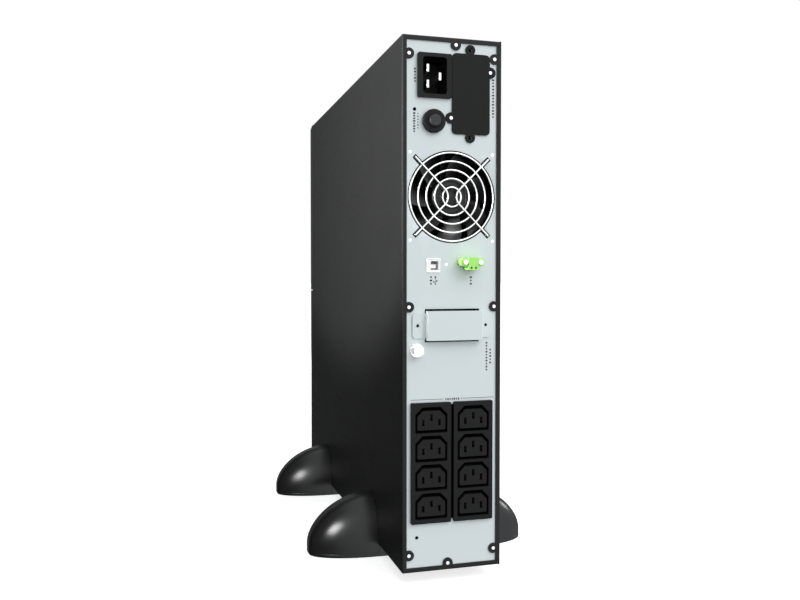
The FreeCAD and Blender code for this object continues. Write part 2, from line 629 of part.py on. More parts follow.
def stand_half(node, side, y):
    """One half of a stand: a dome beside the case and a plate under it."""
    name = node.title().replace("_", "")
    dome = doc.addObject("Part::Feature", name + "Dome")
    dome.Shape = dome_shape()
    turn = FreeCAD.Rotation(Vector(0, 0, 1), 0 if side > 0 else 180)
    place(dome, side * HALF, y, 0, rotation=turn)
    spans = (D.plate_seam, HALF) if side > 0 else (-HALF, -D.plate_seam)
    plate = block(name + "Plate", spans, (y - D.dome_half_length, y + D.dome_half_length),
                  (0, D.case_bottom))
    keep(node, fuse(name, [dome, plate]))


# Inlet, breaker, card slot -----------------------------------------------------------

def blade_places():
    line, half = D.blade_line_x, D.blade_pitch / 2
    return [(D.inlet_x + line, D.inlet_z + half), (D.inlet_x + line, D.inlet_z - half),
            (D.inlet_x - line, D.inlet_z)]


def inlet():
    """Male inlet: a flanged box with a deep recess, and three flat blades in it."""
    body = new_body("InletHousing")
    back = PANEL_OUT + D.inlet_proud - D.recess_depth
    flange = Outline(body, "InletFlange", "y", PANEL_OUT)
    flange.rounded(D.inlet_x, D.inlet_z, D.inlet_width, D.inlet_height, D.inlet_corner)
    pad(body, flange, D.inlet_proud)
    barrel = Outline(body, "InletBarrel", "y", back - D.inlet_floor)
    barrel.rectangle(D.inlet_x, D.inlet_z, D.recess_width + D.inlet_wall * 2,
                     D.recess_height + D.inlet_wall * 2)
    pad(body, barrel, D.recess_depth - D.inlet_proud + D.inlet_floor)
    recess = Outline(body, "InletRecess", "y", back)
    recess.rounded(D.inlet_x, D.inlet_z, D.recess_width, D.recess_height, D.recess_corner)
    pocket(body, recess, D.recess_depth)
    slits = Outline(body, "InletSlits", "y", back - D.inlet_floor)
    for x, z in blade_places():
        slits.rectangle(x, z, D.blade_width, D.blade_height)
    pocket(body, slits, D.inlet_floor)
    keep("inlet_housing", body)
    blades = []
    for index, (x, z) in enumerate(blade_places()):
        blades.append(block("InletBlade{}".format(index), (x - D.blade_width / 2, x + D.blade_width / 2),
                            (back - D.blade_tail, back + D.blade_tip),
                            (z - D.blade_height / 2, z + D.blade_height / 2)))
    keep("inlet_blades", gather("InletBlades", blades))


def breaker():
    """Thermal breaker behind the panel, held by a round nut, with a button in its neck."""
    body = new_body("BreakerBody")
    barrel = Outline(body, "BreakerBarrel", "y", PANEL_IN - D.breaker_length)
    barrel.circle(D.breaker_x, D.breaker_z, D.breaker_barrel)
    pad(body, barrel, D.breaker_length)
    neck = Outline(body, "BreakerNeck", "y", PANEL_IN)
    neck.circle(D.breaker_x, D.breaker_z, D.breaker_neck)
    pad(body, neck, D.sheet + D.breaker_nut_height + D.breaker_neck_proud)
    bore = Outline(body, "BreakerBore", "y", PANEL_IN - D.breaker_bore)
    bore.circle(D.breaker_x, D.breaker_z, D.breaker_button_radius + D.breaker_fit)
    pocket(body, bore, D.breaker_bore + D.sheet + D.breaker_nut_height + D.breaker_neck_proud)
    keep("breaker_body", body)
    ring = new_body("BreakerNut")
    rim = Outline(ring, "BreakerNutRim", "y", PANEL_OUT)
    rim.circle(D.breaker_x, D.breaker_z, D.breaker_nut_radius)
    rim.circle(D.breaker_x, D.breaker_z, D.breaker_neck)
    pad(ring, rim, D.breaker_nut_height)
    round_edges(ring, D.breaker_round, lambda box: (box.YMin > PANEL_OUT.value + 1 and box.XLength > 18))
    keep("breaker_nut", ring)
    button = new_body("BreakerButton")
    stem = Outline(button, "BreakerStem", "y", PANEL_IN - D.breaker_bore + 1)
    stem.circle(D.breaker_x, D.breaker_z, D.breaker_button_radius)
    pad(button, stem, D.breaker_bore - 1 + D.sheet + D.breaker_proud)
    round_edges(button, D.breaker_round, lambda box: box.YMin > PANEL_OUT.value + 1)
    keep("breaker_button", button)


def card_slot():
    """Cover plate with four ears, its two screws, and the sheet cage behind it."""
    body = new_body("SlotCover")
    plate = Outline(body, "SlotPlate", "y", PANEL_OUT)
    plate.rounded(D.slot_x, D.slot_z, D.slot_width, D.slot_height, D.slot_corner)
    pad(body, plate, D.slot_plate)
    screws = [(D.slot_screw_high_x, D.slot_screw_high_z), (D.slot_screw_low_x, D.slot_screw_low_z)]
    holes = [(D.slot_ear_x, D.slot_ear_mid + side * D.slot_ear_pitch / 2) for side in (-1, 1)]
    for index, (x, z) in enumerate(holes + screws):
        ear = Outline(body, "SlotEar{}".format(index), "y", PANEL_OUT)
        ear.circle(x, z, D.slot_ear_radius if index < 2 else D.slot_screw_ear)
        pad(body, ear, D.slot_plate)
    drills = Outline(body, "SlotHoles", "y", PANEL_OUT)
    for x, z in holes:
        drills.circle(x, z, D.slot_hole)
    for x, z in screws:
        drills.circle(x, z, D.screw_shank)
    pocket(body, drills, D.slot_plate)
    keep("slot_cover", body)
    face = PANEL_OUT + D.slot_plate
    keep("slot_screws", gather("SlotScrews", [
        pan_screw("SlotScrew{}".format(index), x, z, face, length=D.slot_screw_length)
        for index, (x, z) in enumerate(screws)]))
    cage = new_body("CardCage")
    shell = Outline(cage, "CageShell", "y", PANEL_IN - D.cage_depth)
    shell.rectangle(D.slot_x, D.slot_z, D.cage_half_width * 2, D.cage_half_height * 2)
    pad(cage, shell, D.cage_depth)
    hollow = Outline(cage, "CageHollow", "y", PANEL_IN - D.cage_depth + D.cage_sheet)
    hollow.rectangle(D.slot_x, D.slot_z, (D.cage_half_width - D.cage_sheet) * 2,
                     (D.cage_half_height - D.cage_sheet) * 2)
    pocket(cage, hollow, D.cage_depth)
    keep("card_cage", cage)


# Fan ------------------------------------------------------------------------------------

def fan_frame():
    """Square moulded frame with a round bore, four holes and a hub on four webs."""
    body = new_body("FanFrame")
    inner = PANEL_IN - D.fan_depth
    square = Outline(body, "FanSquare", "y", inner)
    square.rounded(0, D.fan_z, D.fan_side, D.fan_side, D.fan_corner)
    pad(body, square, D.fan_depth)
    bore = Outline(body, "FanBore", "y", inner)
    bore.circle(0, D.fan_z, D.fan_bore)
    pocket(body, bore, D.fan_depth)
    waist = Outline(body, "FanWaist", "y", inner + D.fan_rim)
    reach = D.fan_side / 2
    for side in (-1, 1):
        waist.rectangle(side * (reach - 0.5), D.fan_z, 1, D.fan_waist)
        waist.rectangle(0, D.fan_z + side * (reach - 0.5), D.fan_waist, 1)
    pocket(body, waist, D.fan_depth - D.fan_rim * 2)
    web = Outline(body, "FanWeb", "y", inner)
    across = (D.fan_bore + 1) * 2
    web.rectangle(0, D.fan_z, D.web_width, across)
    pad(body, web, D.fan_web)
    cross = Outline(body, "FanCrossWeb", "y", inner)
    cross.rectangle(0, D.fan_z, across, D.web_width)
    pad(body, cross, D.fan_web)
    hub = Outline(body, "FanHub", "y", inner)
    hub.circle(0, D.fan_z, D.fan_hub)
    pad(body, hub, D.fan_web)
    post = Outline(body, "FanPost", "y", inner)
    post.circle(0, D.fan_z, D.bearing_radius + D.post_wall)
    pad(body, post, D.fan_web + D.post_height)
    seat = Outline(body, "FanSeat", "y", inner)
    seat.circle(0, D.fan_z, D.bearing_radius)
    for x, z in fan_screw_places():
        seat.circle(x, z, D.fan_hole)
    pocket(body, seat, D.fan_depth)
    keep("fan_frame", body)


def fan_bearing():
    body = new_body("FanBearing")
    sleeve = Outline(body, "BearingSleeve", "y", PANEL_IN - D.fan_depth)
    sleeve.circle(0, D.fan_z, D.bearing_radius)
    sleeve.circle(0, D.fan_z, D.shaft_radius + D.bearing_fit)
    pad(body, sleeve, D.fan_web + D.post_height)
    keep("fan_bearing", body)


def blade_section(body, name, radius, chord, pitch, sweep):
    """Cross-section of a fan blade, across the body's X axis at a radius."""
    turn = math.radians(pitch.value)
    along = Vector(math.sin(turn), math.cos(turn), 0) * (chord.value / 2)
    across = Vector(-math.cos(turn), math.sin(turn), 0) * (D.blade_thick.value / 2)
    outline = Outline(body, name, "x", radius)
    corners = []
    for run, side in ((-1, -1), (1, -1), (1, 1), (-1, 1)):
        corner = along * run + across * side
        corners.append((corner.x, corner.y + sweep.value))
    return outline.polygon(corners)


def fan_rotor():
    """Cup, shaft and seven blades; the body's own Y axis is the axis of rotation."""
    body = new_body("FanRotor")
    nose = D.fan_depth / 2 - D.rotor_gap
    cup = Outline(body, "RotorCup", "y", nose - D.rotor_cup)
    cup.circle(0, 0, D.fan_hub)
    pad(body, cup, D.rotor_cup)
    hollow = Outline(body, "RotorHollow", "y", nose - D.rotor_cup)
    hollow.circle(0, 0, D.fan_hub - D.rotor_wall)
    pocket(body, hollow, D.rotor_cup - D.rotor_wall)
    shaft = Outline(body, "RotorShaft", "y", D.shaft_clear - D.fan_depth / 2)
    shaft.circle(0, 0, D.shaft_radius)
    pad(body, shaft, D.fan_depth - D.rotor_gap - D.shaft_clear * 2)
    root = blade_section(body, "BladeRoot", D.fan_hub - D.root_sink, D.root_chord, D.root_pitch,
                         as_size(0))
    tip = blade_section(body, "BladeTip", D.rotor_radius, D.tip_chord, D.tip_pitch, D.tip_sweep)
    blade = body.newObject("PartDesign::AdditiveLoft", "Blade")
    blade.Profile = root.sketch
    blade.Sections = [tip.sketch]
    blade.Ruled = True
    doc.recompute()
    turn_about(body, blade, "Y", 7)
    place(body, 0, PANEL_IN - D.fan_depth / 2, D.fan_z)
    keep("fan_rotor", body)


def fan_guard():
    """Five welded rings under two bent wires whose ends hook into the panel's notches."""
    wires = []
    ring_y = PANEL_IN + D.guard_wire
    wire_y = ring_y + D.guard_wire * 1.5
    for index in range(5):
        ring = doc.addObject("Part::Torus", "GuardRing{}".format(index))
        bind(ring, "Radius1", D.guard_first_ring + D.guard_ring_step * index)
        bind(ring, "Radius2", D.guard_wire)
        place(ring, 0, ring_y, D.fan_z, rotation=TURNS["y"])
        wires.append(ring)
    start = D.guard_bend * math.sqrt(0.5)
    for side in (-1, 1):
        bend = doc.addObject("Part::Torus", "GuardBend{}".format(1 + side))
        bind(bend, "Radius1", D.guard_bend)
        bind(bend, "Radius2", D.guard_wire)
        bend.Angle3 = 90
        facing = FreeCAD.Rotation(Vector(0, 1, 0), -45 if side > 0 else 135)
        place(bend, side * D.guard_bend * math.sqrt(2), wire_y, D.fan_z,
              rotation=FreeCAD.Rotation(Vector(0, 1, 0), 180).multiply(facing).multiply(TURNS["y"]))
        wires.append(bend)
        for rise in (-1, 1):
            name = "{}{}".format(1 + side, 1 + rise)
            leg = doc.addObject("Part::Cylinder", "GuardLeg" + name)
            bind(leg, "Radius", D.guard_wire)
            bind(leg, "Height", (D.guard_reach - start) * math.sqrt(2))
            outward = FreeCAD.Rotation(Vector(0, 0, 1), Vector(side, 0, rise))
            place(leg, side * start, wire_y, D.fan_z + rise * start, rotation=outward)
            knee = doc.addObject("Part::Sphere", "GuardKnee" + name)
            bind(knee, "Radius", D.guard_wire)
            place(knee, side * D.guard_reach, wire_y, D.fan_z + rise * D.guard_reach)
            hook = rod("GuardHook" + name, D.guard_wire,
                       (side * D.guard_reach, PANEL_IN, D.fan_z + rise * D.guard_reach), wire_y - PANEL_IN)
            wires.extend([leg, knee, hook])
    keep("fan_guard", fuse("FanGuard", wires))


def fan_screws():
    screws = [pan_screw("FanScrew{}".format(index), x, z, PANEL_OUT)
              for index, (x, z) in enumerate(fan_screw_places())]
    keep("fan_screws", gather("FanScrews", screws))


# Signal sockets ---------------------------------------------------------------------

def usb_port():
    """Metal shell with a moulded insert and its tongue."""
    shell = new_body("UsbShell")
    back = PANEL_OUT + D.usb_proud - D.usb_depth
    inner_width, inner_height = D.usb_width - D.usb_wall * 2, D.usb_height - D.usb_wall * 2
    outer = Outline(shell, "UsbOuter", "y", back)
    outer.rounded(D.usb_x, D.usb_z, D.usb_width, D.usb_height, D.usb_wall)
    pad(shell, outer, D.usb_depth)
    inner = Outline(shell, "UsbInner", "y", back)
    inner.rectangle(D.usb_x, D.usb_z, inner_width, inner_height)
    pocket(shell, inner, D.usb_depth)
    keep("usb_shell", shell)
    insert = new_body("UsbInsert")
    fill = Outline(insert, "UsbFill", "y", back)
    fill.rectangle(D.usb_x, D.usb_z, inner_width, inner_height)
    pad(insert, fill, D.usb_depth - D.usb_set_back)
    x = D.usb_x + D.usb_mouth_x
    mouth = Outline(insert, "UsbMouth", "y", back + D.usb_mouth_floor)
    mouth.rectangle(x, D.usb_z, D.usb_mouth_width, D.usb_mouth_height)
    pocket(insert, mouth, D.usb_depth)
    tongue = Outline(insert, "UsbTongue", "y", back + D.usb_mouth_floor - 1)
    tongue.rectangle(x + D.usb_tongue_x, D.usb_z + D.usb_tongue_z, D.usb_tongue_width, D.usb_tongue_height)
    pad(insert, tongue, D.usb_depth - D.usb_mouth_floor - 1)
    keep("usb_insert", insert)


def signal_board():
    low = D.comm_board_low
    keep("comm_board", block("CommBoard", (D.comm_board_left, D.comm_board_right),
                             (D.comm_board_front, D.comm_board_back), (low, low + D.board_thick)))
    screw = pan_screw("CommScrewBlank", D.comm_screw_x, D.comm_screw_z, PANEL_OUT, head=D.comm_screw_head)
    reach, half = D.comm_screw_head, D.comm_slot / 2
    floor = PANEL_OUT + D.screw_head_height - D.comm_slot
    slot = block("CommScrewSlot", (D.comm_screw_x - reach, D.comm_screw_x + reach), (floor, floor + 2),
                 (D.comm_screw_z - half, D.comm_screw_z + half))
    keep("comm_screw", cut("CommScrew", screw, slot))


def epo_lugs(body, name, face, length):
    """Two round lugs beside the connector's body."""
    for side in (-1, 1):
        lug = Outline(body, "{}{}".format(name, 1 + side), "y", face)
        lug.circle(D.epo_x + side * D.epo_pitch / 2, D.epo_z + D.epo_lug_raise, D.epo_lug)
        pad(body, lug, length)
    bores = Outline(body, name + "Bores", "y", face)
    for side in (-1, 1):
        bores.circle(D.epo_x + side * D.epo_pitch / 2, D.epo_z + D.epo_lug_raise, D.epo_screw_shank)
    pocket(body, bores, length)


def shut_off_connector():
    """Two-pole shut-off connector: a fixed socket and a plug that pulls out of it."""
    joint = D.case_rear
    socket = new_body("EpoSocket")
    shell = Outline(socket, "EpoShell", "y", D.epo_socket_back)
    shell.rectangle(D.epo_x, D.epo_z, D.epo_socket_width, D.epo_socket_height)
    pad(socket, shell, joint - D.epo_socket_back)
    epo_lugs(socket, "EpoSocketLug", PANEL_OUT, joint - PANEL_OUT)
    cavity = Outline(socket, "EpoCavity", "y", joint - D.epo_nose_length - 1)
    cavity.rectangle(D.epo_x, D.epo_z, D.epo_nose_width + D.epo_clear * 2,
                     D.epo_nose_height + D.epo_clear * 2)
    pocket(socket, cavity, D.epo_nose_length + 1)
    keep("epo_socket", socket)
    plug = new_body("EpoPlug")
    face = joint + D.epo_clear
    length = D.epo_plug_length - D.epo_clear
    core = Outline(plug, "EpoCore", "y", face)
    core.rounded(D.epo_x, D.epo_z, D.epo_body_width, D.epo_height, D.epo_corner)
    pad(plug, core, length)
    epo_lugs(plug, "EpoLug", face, D.epo_lug_length)
    nose = Outline(plug, "EpoNose", "y", face - D.epo_nose_length)
    nose.rectangle(D.epo_x, D.epo_z, D.epo_nose_width, D.epo_nose_height)
    pad(plug, nose, D.epo_nose_length)
    ports = Outline(plug, "EpoPorts", "y", face + length - D.epo_port_depth)
    for side in (-1, 1):
        ports.circle(D.epo_x + side * D.epo_port_pitch / 2, D.epo_z - D.epo_port_drop, D.epo_port)
    pocket(plug, ports, D.epo_port_depth)
    keep("epo_plug", plug)
    screws = []
    for side in (-1, 1):
        x, z = D.epo_x + side * D.epo_pitch / 2, D.epo_z + D.epo_lug_raise
        head = rod("EpoHead{}".format(1 + side), D.epo_screw_head, (x, face + D.epo_lug_length, z),
                   D.epo_screw_height)
        shank = rod("EpoShank{}".format(1 + side), D.epo_screw_shank, (x, face, z), D.epo_lug_length + 0.2)
        screws.append(fuse("EpoScrew{}".format(1 + side), [head, shank]))
    keep("epo_screws", gather("EpoScrews", screws))


# Bridge cover, connector, earth screw ----------------------------------------------

def bridge_cover():
    """Strip bent to a hat section that stands off the panel over the connector window."""
    body = new_body("BridgeCover")
    out, rise, thick = PANEL_OUT, PANEL_OUT + D.bridge_rise, D.sheet
    left, right = D.bridge_x - D.bridge_top, D.bridge_x + D.bridge_top
    low = D.bridge_z - D.bridge_height / 2
    hat = Outline(body, "BridgeHat", "z", low)
    hat.polygon([(-D.bridge_end, out), (left + thick, out), (left + thick, rise - thick),
                 (right - thick, rise - thick), (right - thick, out), (D.bridge_end, out),
                 (D.bridge_end, out + thick), (right, out + thick), (right, rise), (left, rise),
                 (left, out + thick), (-D.bridge_end, out + thick)])
    pad(body, hat, D.bridge_height)
    spare = (D.bridge_height - D.bridge_flange_height) / 2
    steps = Outline(body, "BridgeSteps", "y", out)
    for edge, tip in ((left, -D.bridge_end), (right, D.bridge_end)):
        width = D.bridge_end - edge * math.copysign(1, tip.value)
        for v in (low + spare / 2, low + D.bridge_height - spare / 2):
            steps.rectangle((edge + tip) / 2, v, width, spare)
    pocket(body, steps, thick)
    round_edges(body, D.bridge_corner, lambda box: (
        min(abs(box.XMin), abs(box.XMax)) > D.bridge_end.value - 0.1 and box.ZLength < 0.1))
    round_edges(body, D.bridge_fold, lambda box: (
        box.YMin > rise.value - 0.1 and box.ZLength > D.bridge_height.value - 1))
    holes = Outline(body, "BridgeHoles", "y", out)
    for side in (-1, 1):
        holes.circle(side * D.bridge_hole_x, D.bridge_z, D.bridge_hole)
    pocket(body, holes, thick)
    keep("bridge_cover", body)


def battery_connector():
    """Socket for an extension battery, set back in the window under the bridge."""
    body = new_body("BatteryConnector")
    shell = Outline(body, "ConnectorShell", "y", D.connector_back)
    shell.rounded(0, D.bridge_z, D.connector_width, D.connector_height, D.connector_corner)
    pad(body, shell, PANEL_OUT - D.connector_back)
    for side in (-1, 1):
        port = Outline(body, "ConnectorPort{}".format(1 + side), "y", PANEL_OUT - D.port_depth)
        port.rounded(side * D.port_x, D.bridge_z, D.port_width, D.port_height, D.port_corner)
        pocket(body, port, D.port_depth)
    keep("battery_connector", body)


def earth_screw():
    """Hexagon-headed screw on a washer, with two of the head's corners up and down."""
    washer = rod("EarthWasher", D.earth_washer, (D.earth_x, PANEL_OUT, D.earth_z), D.sheet)
    head = doc.addObject("Part::Prism", "EarthHead")
    head.Polygon = 6
    bind(head, "Circumradius", D.earth_hex)
    bind(head, "Height", D.earth_head)
    upright = TURNS["y"].multiply(FreeCAD.Rotation(Vector(0, 0, 1), 30))
    place(head, D.earth_x, PANEL_OUT + D.sheet, D.earth_z, rotation=upright)
    shank = rod("EarthShank", D.earth_shank, (D.earth_x, PANEL_OUT - D.earth_length, D.earth_z),
                D.earth_length + D.sheet)
    keep("ground_screw", fuse("GroundScrew", [washer, head, shank]))


# Outlet banks -----------------------------------------------------------------------

def outlet_outline(x, z, width, height, chamfer):
    """Six-sided outlet outline, chamfered at its two top corners."""
    left, right = x - width / 2, x + width / 2
    low, high = z - height / 2, z + height / 2
    return [(left, low), (right, low), (right, high - chamfer), (right - chamfer, high),
            (left + chamfer, high), (left, high - chamfer)]


def contact_places(x, z):
    return [(x - D.slot_spacing, z - D.slot_raise / 2), (x + D.slot_spacing, z - D.slot_raise / 2),
            (x, z + D.slot_raise / 2)]


def is_outlet_corner(box, x):
    """Whether an edge is a corner of an outlet's groove or core, and not of a slot or of the bank."""
    if box.XLength > 0.01 or box.ZLength > 0.01 or box.YLength < D.bank_proud.value + 1:
        return False
    across = abs(box.XMin - x)
    above = min(abs(box.ZMin - height.value) for height in outlet_heights())
    slot_reach = D.slot_spacing.value + D.contact_slot_width.value / 2
    inside_block = across < D.groove_width.value / 2 + 0.1
    return inside_block and (across > slot_reach + 0.1 or above > D.core_height.value / 2 - 1)


def outlet_bank(node, side):
    """Moulded strip of four outlets, each a deep groove around a core with three slots."""
    name = node.title().replace("_", "")
    body = new_body(name)
    x = side * D.bank_x
    face = PANEL_OUT + D.bank_proud
    flange = Outline(body, name + "Flange", "y", PANEL_OUT)
    flange.rounded(x, D.bank_z, D.bank_width, D.bank_height, D.bank_corner)
    pad(body, flange, D.bank_proud)
    block_behind = Outline(body, name + "Block", "y", PANEL_OUT - D.bank_depth)
    block_behind.rectangle(x, D.bank_z, D.bank_body_width, D.bank_height - D.bank_lap * 2)
    pad(body, block_behind, D.bank_depth)
    first = D.outlet_first_z
    groove = Outline(body, name + "Groove", "y", face - D.groove_depth)
    groove.polygon(outlet_outline(x, first, D.groove_width, D.groove_height, D.groove_chamfer))
    groove.polygon(outlet_outline(x, first - D.core_drop, D.core_width, D.core_height, D.core_chamfer))
    repeat(body, pocket(body, groove, D.groove_depth), "Z", D.outlet_pitch, 4)
    slots = Outline(body, name + "Slots", "y", face - D.groove_depth)
    for u, v in contact_places(x, first):
        slots.rectangle(u, v, D.contact_slot_width, D.contact_slot_height)
    repeat(body, pocket(body, slots, D.groove_depth), "Z", D.outlet_pitch, 4)
    round_edges(body, D.outlet_round, lambda box: is_outlet_corner(box, x.value))
    keep(node, body)


def outlet_contacts():
    """Brass contacts, one in each outlet slot."""
    contacts = []
    deep = PANEL_OUT + D.bank_proud - D.groove_depth
    for side in (-1, 1):
        for z in outlet_heights():
            for u, v in contact_places(side * D.bank_x, z):
                contacts.append(block("Contact{}".format(len(contacts)),
                                      (u - D.contact_thick / 2, u + D.contact_thick / 2),
                                      (deep, deep + D.contact_length),
                                      (v - D.contact_height / 2, v + D.contact_height / 2)))
    keep("outlet_contacts", gather("OutletContacts", contacts))


# Frame sheets and battery pack -------------------------------------------------------

def front_frame():
    body = new_body("FrontFrame")
    plate = Outline(body, "FramePlate", "y", FRAME_FRONT)
    middle = (D.panel_low + D.panel_high) / 2
    plate.rectangle(0, middle, D.panel_half_width * 2, D.panel_high - D.panel_low)
    pad(body, plate, D.frame_sheet)
    bay = Outline(body, "FrameBay", "y", FRAME_FRONT)
    bay.polygon([(-D.bay_half_width, D.case_bottom), (D.bay_half_width, D.case_bottom),
                 (D.bay_half_width, D.bay_high), (-D.bay_half_width, D.bay_high)])
    bay.rectangle(0, D.upper_bay_z, D.upper_bay_width, D.upper_bay_height)
    for side in (-1, 1):
        bay.circle(side * D.thumb_x, D.thumb_z, D.thumb_thread)
    pocket(body, bay, D.frame_sheet)
    keep("front_frame", body)


def mid_partition():
    """Sheet between the battery bay and the power electronics."""
    back_of_frame = FRAME_FRONT + D.frame_sheet
    body = new_body("MidPartition")
    plate = Outline(body, "PartitionPlate", "z", D.partition_z)
    plate.polygon([(-D.panel_half_width, back_of_frame), (D.panel_half_width, back_of_frame),
                   (D.panel_half_width, D.partition_back), (-D.panel_half_width, D.partition_back)])
    for side in (-1, 1):
        plate.circle(side * D.cable_hole_x, D.cable_hole_y, D.cable_hole)
    pad(body, plate, D.sheet)
    fold = Outline(body, "PartitionFold", "y", back_of_frame)
    fold.rectangle(0, D.partition_z + D.partition_fold / 2, D.panel_half_width * 2, D.partition_fold)
    pad(body, fold, D.sheet)
    keep("mid_partition", body)


def battery_tray():
    """Folded tray with a shelf, and the bay plate that closes the front of the case."""
    half, thick = D.tray_half_width, D.tray_sheet
    front = FRAME_FRONT - D.tray_clear
    pieces = [block("TrayFloor", (-half, half), (front, D.tray_back), (D.tray_low, D.tray_low + thick)),
              block("TrayBack", (-half, half), (D.tray_back - thick, D.tray_back),
                    (D.tray_low, D.tray_wall_high)),
              block("TrayShelf", (-half, half), (front, D.tray_back), (D.shelf_low, D.shelf_low + thick)),
              block("TrayPlate", (-D.tray_plate_half, D.tray_plate_half), (front - thick, front),
                    (D.tray_plate_low, D.tray_plate_high))]
    for side in (-1, 1):
        low, high = (-half, thick - half) if side < 0 else (half - thick, half)
        pieces.append(block("TrayWall{}".format(1 + side), (low, high), (front, D.tray_back),
                            (D.tray_low, D.tray_wall_high)))
    holes = [rod("TrayHole{}".format(1 + side), D.thumb_hole,
                 (side * D.thumb_x, front - thick * 2, D.thumb_z), thick * 3) for side in (-1, 1)]
    keep("battery_tray", cut("BatteryTray", fuse("TraySheet", pieces), gather("TrayHoles", holes)))
    screws = []
    for side in (-1, 1):
        x = side * D.thumb_x
        head = rod("ThumbHead{}".format(1 + side), D.thumb_radius,
                   (x, front - thick - D.thumb_length, D.thumb_z), D.thumb_length)
        shank = rod("ThumbShank{}".format(1 + side), D.thumb_shank, (x, front - thick - 0.2, D.thumb_z),
                    D.thumb_screw_reach)
        screws.append(fuse("ThumbScrew{}".format(1 + side), [head, shank]))
    keep("tray_screws", gather("TrayScrews", screws))


def battery_place(row, level):
    """Low corner of a battery in a row from the front and a level from the floor."""
    y = D.battery_front + (D.battery_length + D.battery_gap) * row
    z = (D.shelf_low if level else D.tray_low) + D.tray_sheet
    return y, z


def batteries():
    half = D.battery_width / 2
    tabs = []
    for row, where in enumerate(("front", "rear")):
        for level, height in enumerate(("lower", "upper")):
            node = "battery_{}_{}".format(where, height)
            name = node.title().replace("_", "")
            y, z = battery_place(row, level)
            body = new_body(name)
            plan = Outline(body, name + "Plan", "z", z)
            plan.rounded(0, y + D.battery_length / 2, D.battery_width, D.battery_length, D.battery_corner)
            pad(body, plan, D.battery_height)
            lid = Outline(body, name + "Lid", "z", z + D.battery_height - D.lid_depth)
            lid.rounded(0, y + D.battery_length / 2, D.battery_width - D.lid_margin * 2,
                        D.battery_length - D.lid_set_back * 2, D.battery_corner)
            pocket(body, lid, D.lid_depth)
            keep(node, body)
            top = z + D.battery_height
            for side in (-1, 1):
                x = side * D.terminal_x
                tabs.append(block("{}Tab{}".format(name, 1 + side),
                                  (x - D.terminal_width / 2, x + D.terminal_width / 2),
                                  (y + D.terminal_y, y + D.terminal_y + D.terminal_thick),
                                  (top, top + D.terminal_height)))
    if half.value > D.tray_half_width.value - D.tray_sheet.value:
        raise ValueError("the batteries are wider than their tray")
    keep("battery_terminals", gather("BatteryTerminals", tabs))


# Power electronics ------------------------------------------------------------------

def power_board():
    """Board that stands along the side wall on six standoffs."""
    face = D.board_x + D.board_thick
    keep("main_board", block("MainBoard", (D.board_x, face), (D.board_front, D.board_back),
                             (D.board_low, D.board_high)))
    inner = D.sheet - HALF
    posts = []
    inset = D.standoff_inset
    for y in (D.board_front + inset, (D.board_front + D.board_back) / 2, D.board_back - inset):
        for z in (D.board_low + inset, D.board_high - inset):
            posts.append(rod("Standoff{}".format(len(posts)), D.standoff_radius, (inner, y, z),
                             D.board_x - inner, axis="x"))
    keep("board_standoffs", gather("BoardStandoffs", posts))
    cans = []
    for run, rise in ((-1, -1), (1, -1), (-1, 1), (1, 1)):
        y = D.capacitor_y + run * D.capacitor_pitch / 2
        z = D.capacitor_z + rise * D.capacitor_pitch / 2
        cans.append(rod("Capacitor{}".format(len(cans)), D.capacitor_radius, (face, y, z),
                        D.capacitor_length, axis="x"))
    keep("capacitors", gather("Capacitors", cans))
    boxes = []
    for index in range(4):
        z = D.relay_low + index * D.relay_pitch
        boxes.append(block("Relay{}".format(index), (face, face + D.relay_height),
                           (D.relay_y, D.relay_y + D.relay_length), (z, z + D.relay_width)))
    keep("relays", gather("Relays", boxes))


def heat_sinks():
    """Two finned extrusions that stand on the board."""
    face = D.board_x + D.board_thick
    sinks = []
    for index in range(2):
        low = D.sink_low + index * D.sink_pitch
        y = D.board_front + D.sink_y
        fins = [block("SinkBase{}".format(index), (face, face + D.sink_reach), (y, y + D.sink_length),
                      (low, low + D.sink_base))]
        for fin in range(8):
            x = face + D.fin_start + fin * D.fin_pitch
            fins.append(block("SinkFin{}{}".format(index, fin), (x, x + D.fin_thick), (y, y + D.sink_length),
                              (low, low + D.sink_height)))
        sinks.append(fuse("Sink{}".format(index), fins))
    keep("heatsinks", gather("HeatSinks", sinks))


def transformer():
    """Laminated core with two windows, and the winding around its middle leg."""
    length, side, stack = D.core_length, D.core_side, D.core_stack
    y, z = D.core_front, D.core_low
    middle_y, middle_z = y + length / 2, z + side / 2
    body = new_body("TransformerCore")
    lamination = Outline(body, "CoreLamination", "x", -stack / 2)
    lamination.rectangle(middle_y, middle_z, length, side)
    leg = length / 3
    for way in (-1, 1):
        lamination.rectangle(middle_y + way * (leg + D.core_window) / 2, middle_z, D.core_window,
                             D.core_window_height)
    pad(body, lamination, stack)
    keep("transformer_core", body)
    winding = new_body("TransformerWinding")
    coil = Outline(winding, "CoilPlan", "z", middle_z - D.core_window_height / 2 + D.winding_clear)
    reach = leg / 2 + D.core_window - D.winding_clear
    inside = leg / 2 + D.winding_clear
    for across, along in ((stack / 2 + D.winding_bulge, reach), (stack / 2 + D.winding_clear, inside)):
        coil.polygon([(-across, middle_y - along), (across, middle_y - along),
                      (across, middle_y + along), (-across, middle_y + along)])
    pad(winding, coil, D.core_window_height - D.winding_clear * 2)
    keep("transformer_winding", winding)


# Front ----------------------------------------------------------------------------------

def vent_row(body, name, first, count):
    """A column of flat slots through the front wall."""
    slot = Outline(body, name, "y", D.bezel_front)
    slot.rounded(0, first, D.vent_width, D.vent_height, D.vent_corner)
    repeat(body, pocket(body, slot, D.bezel_wall), "Z", D.vent_pitch, count)


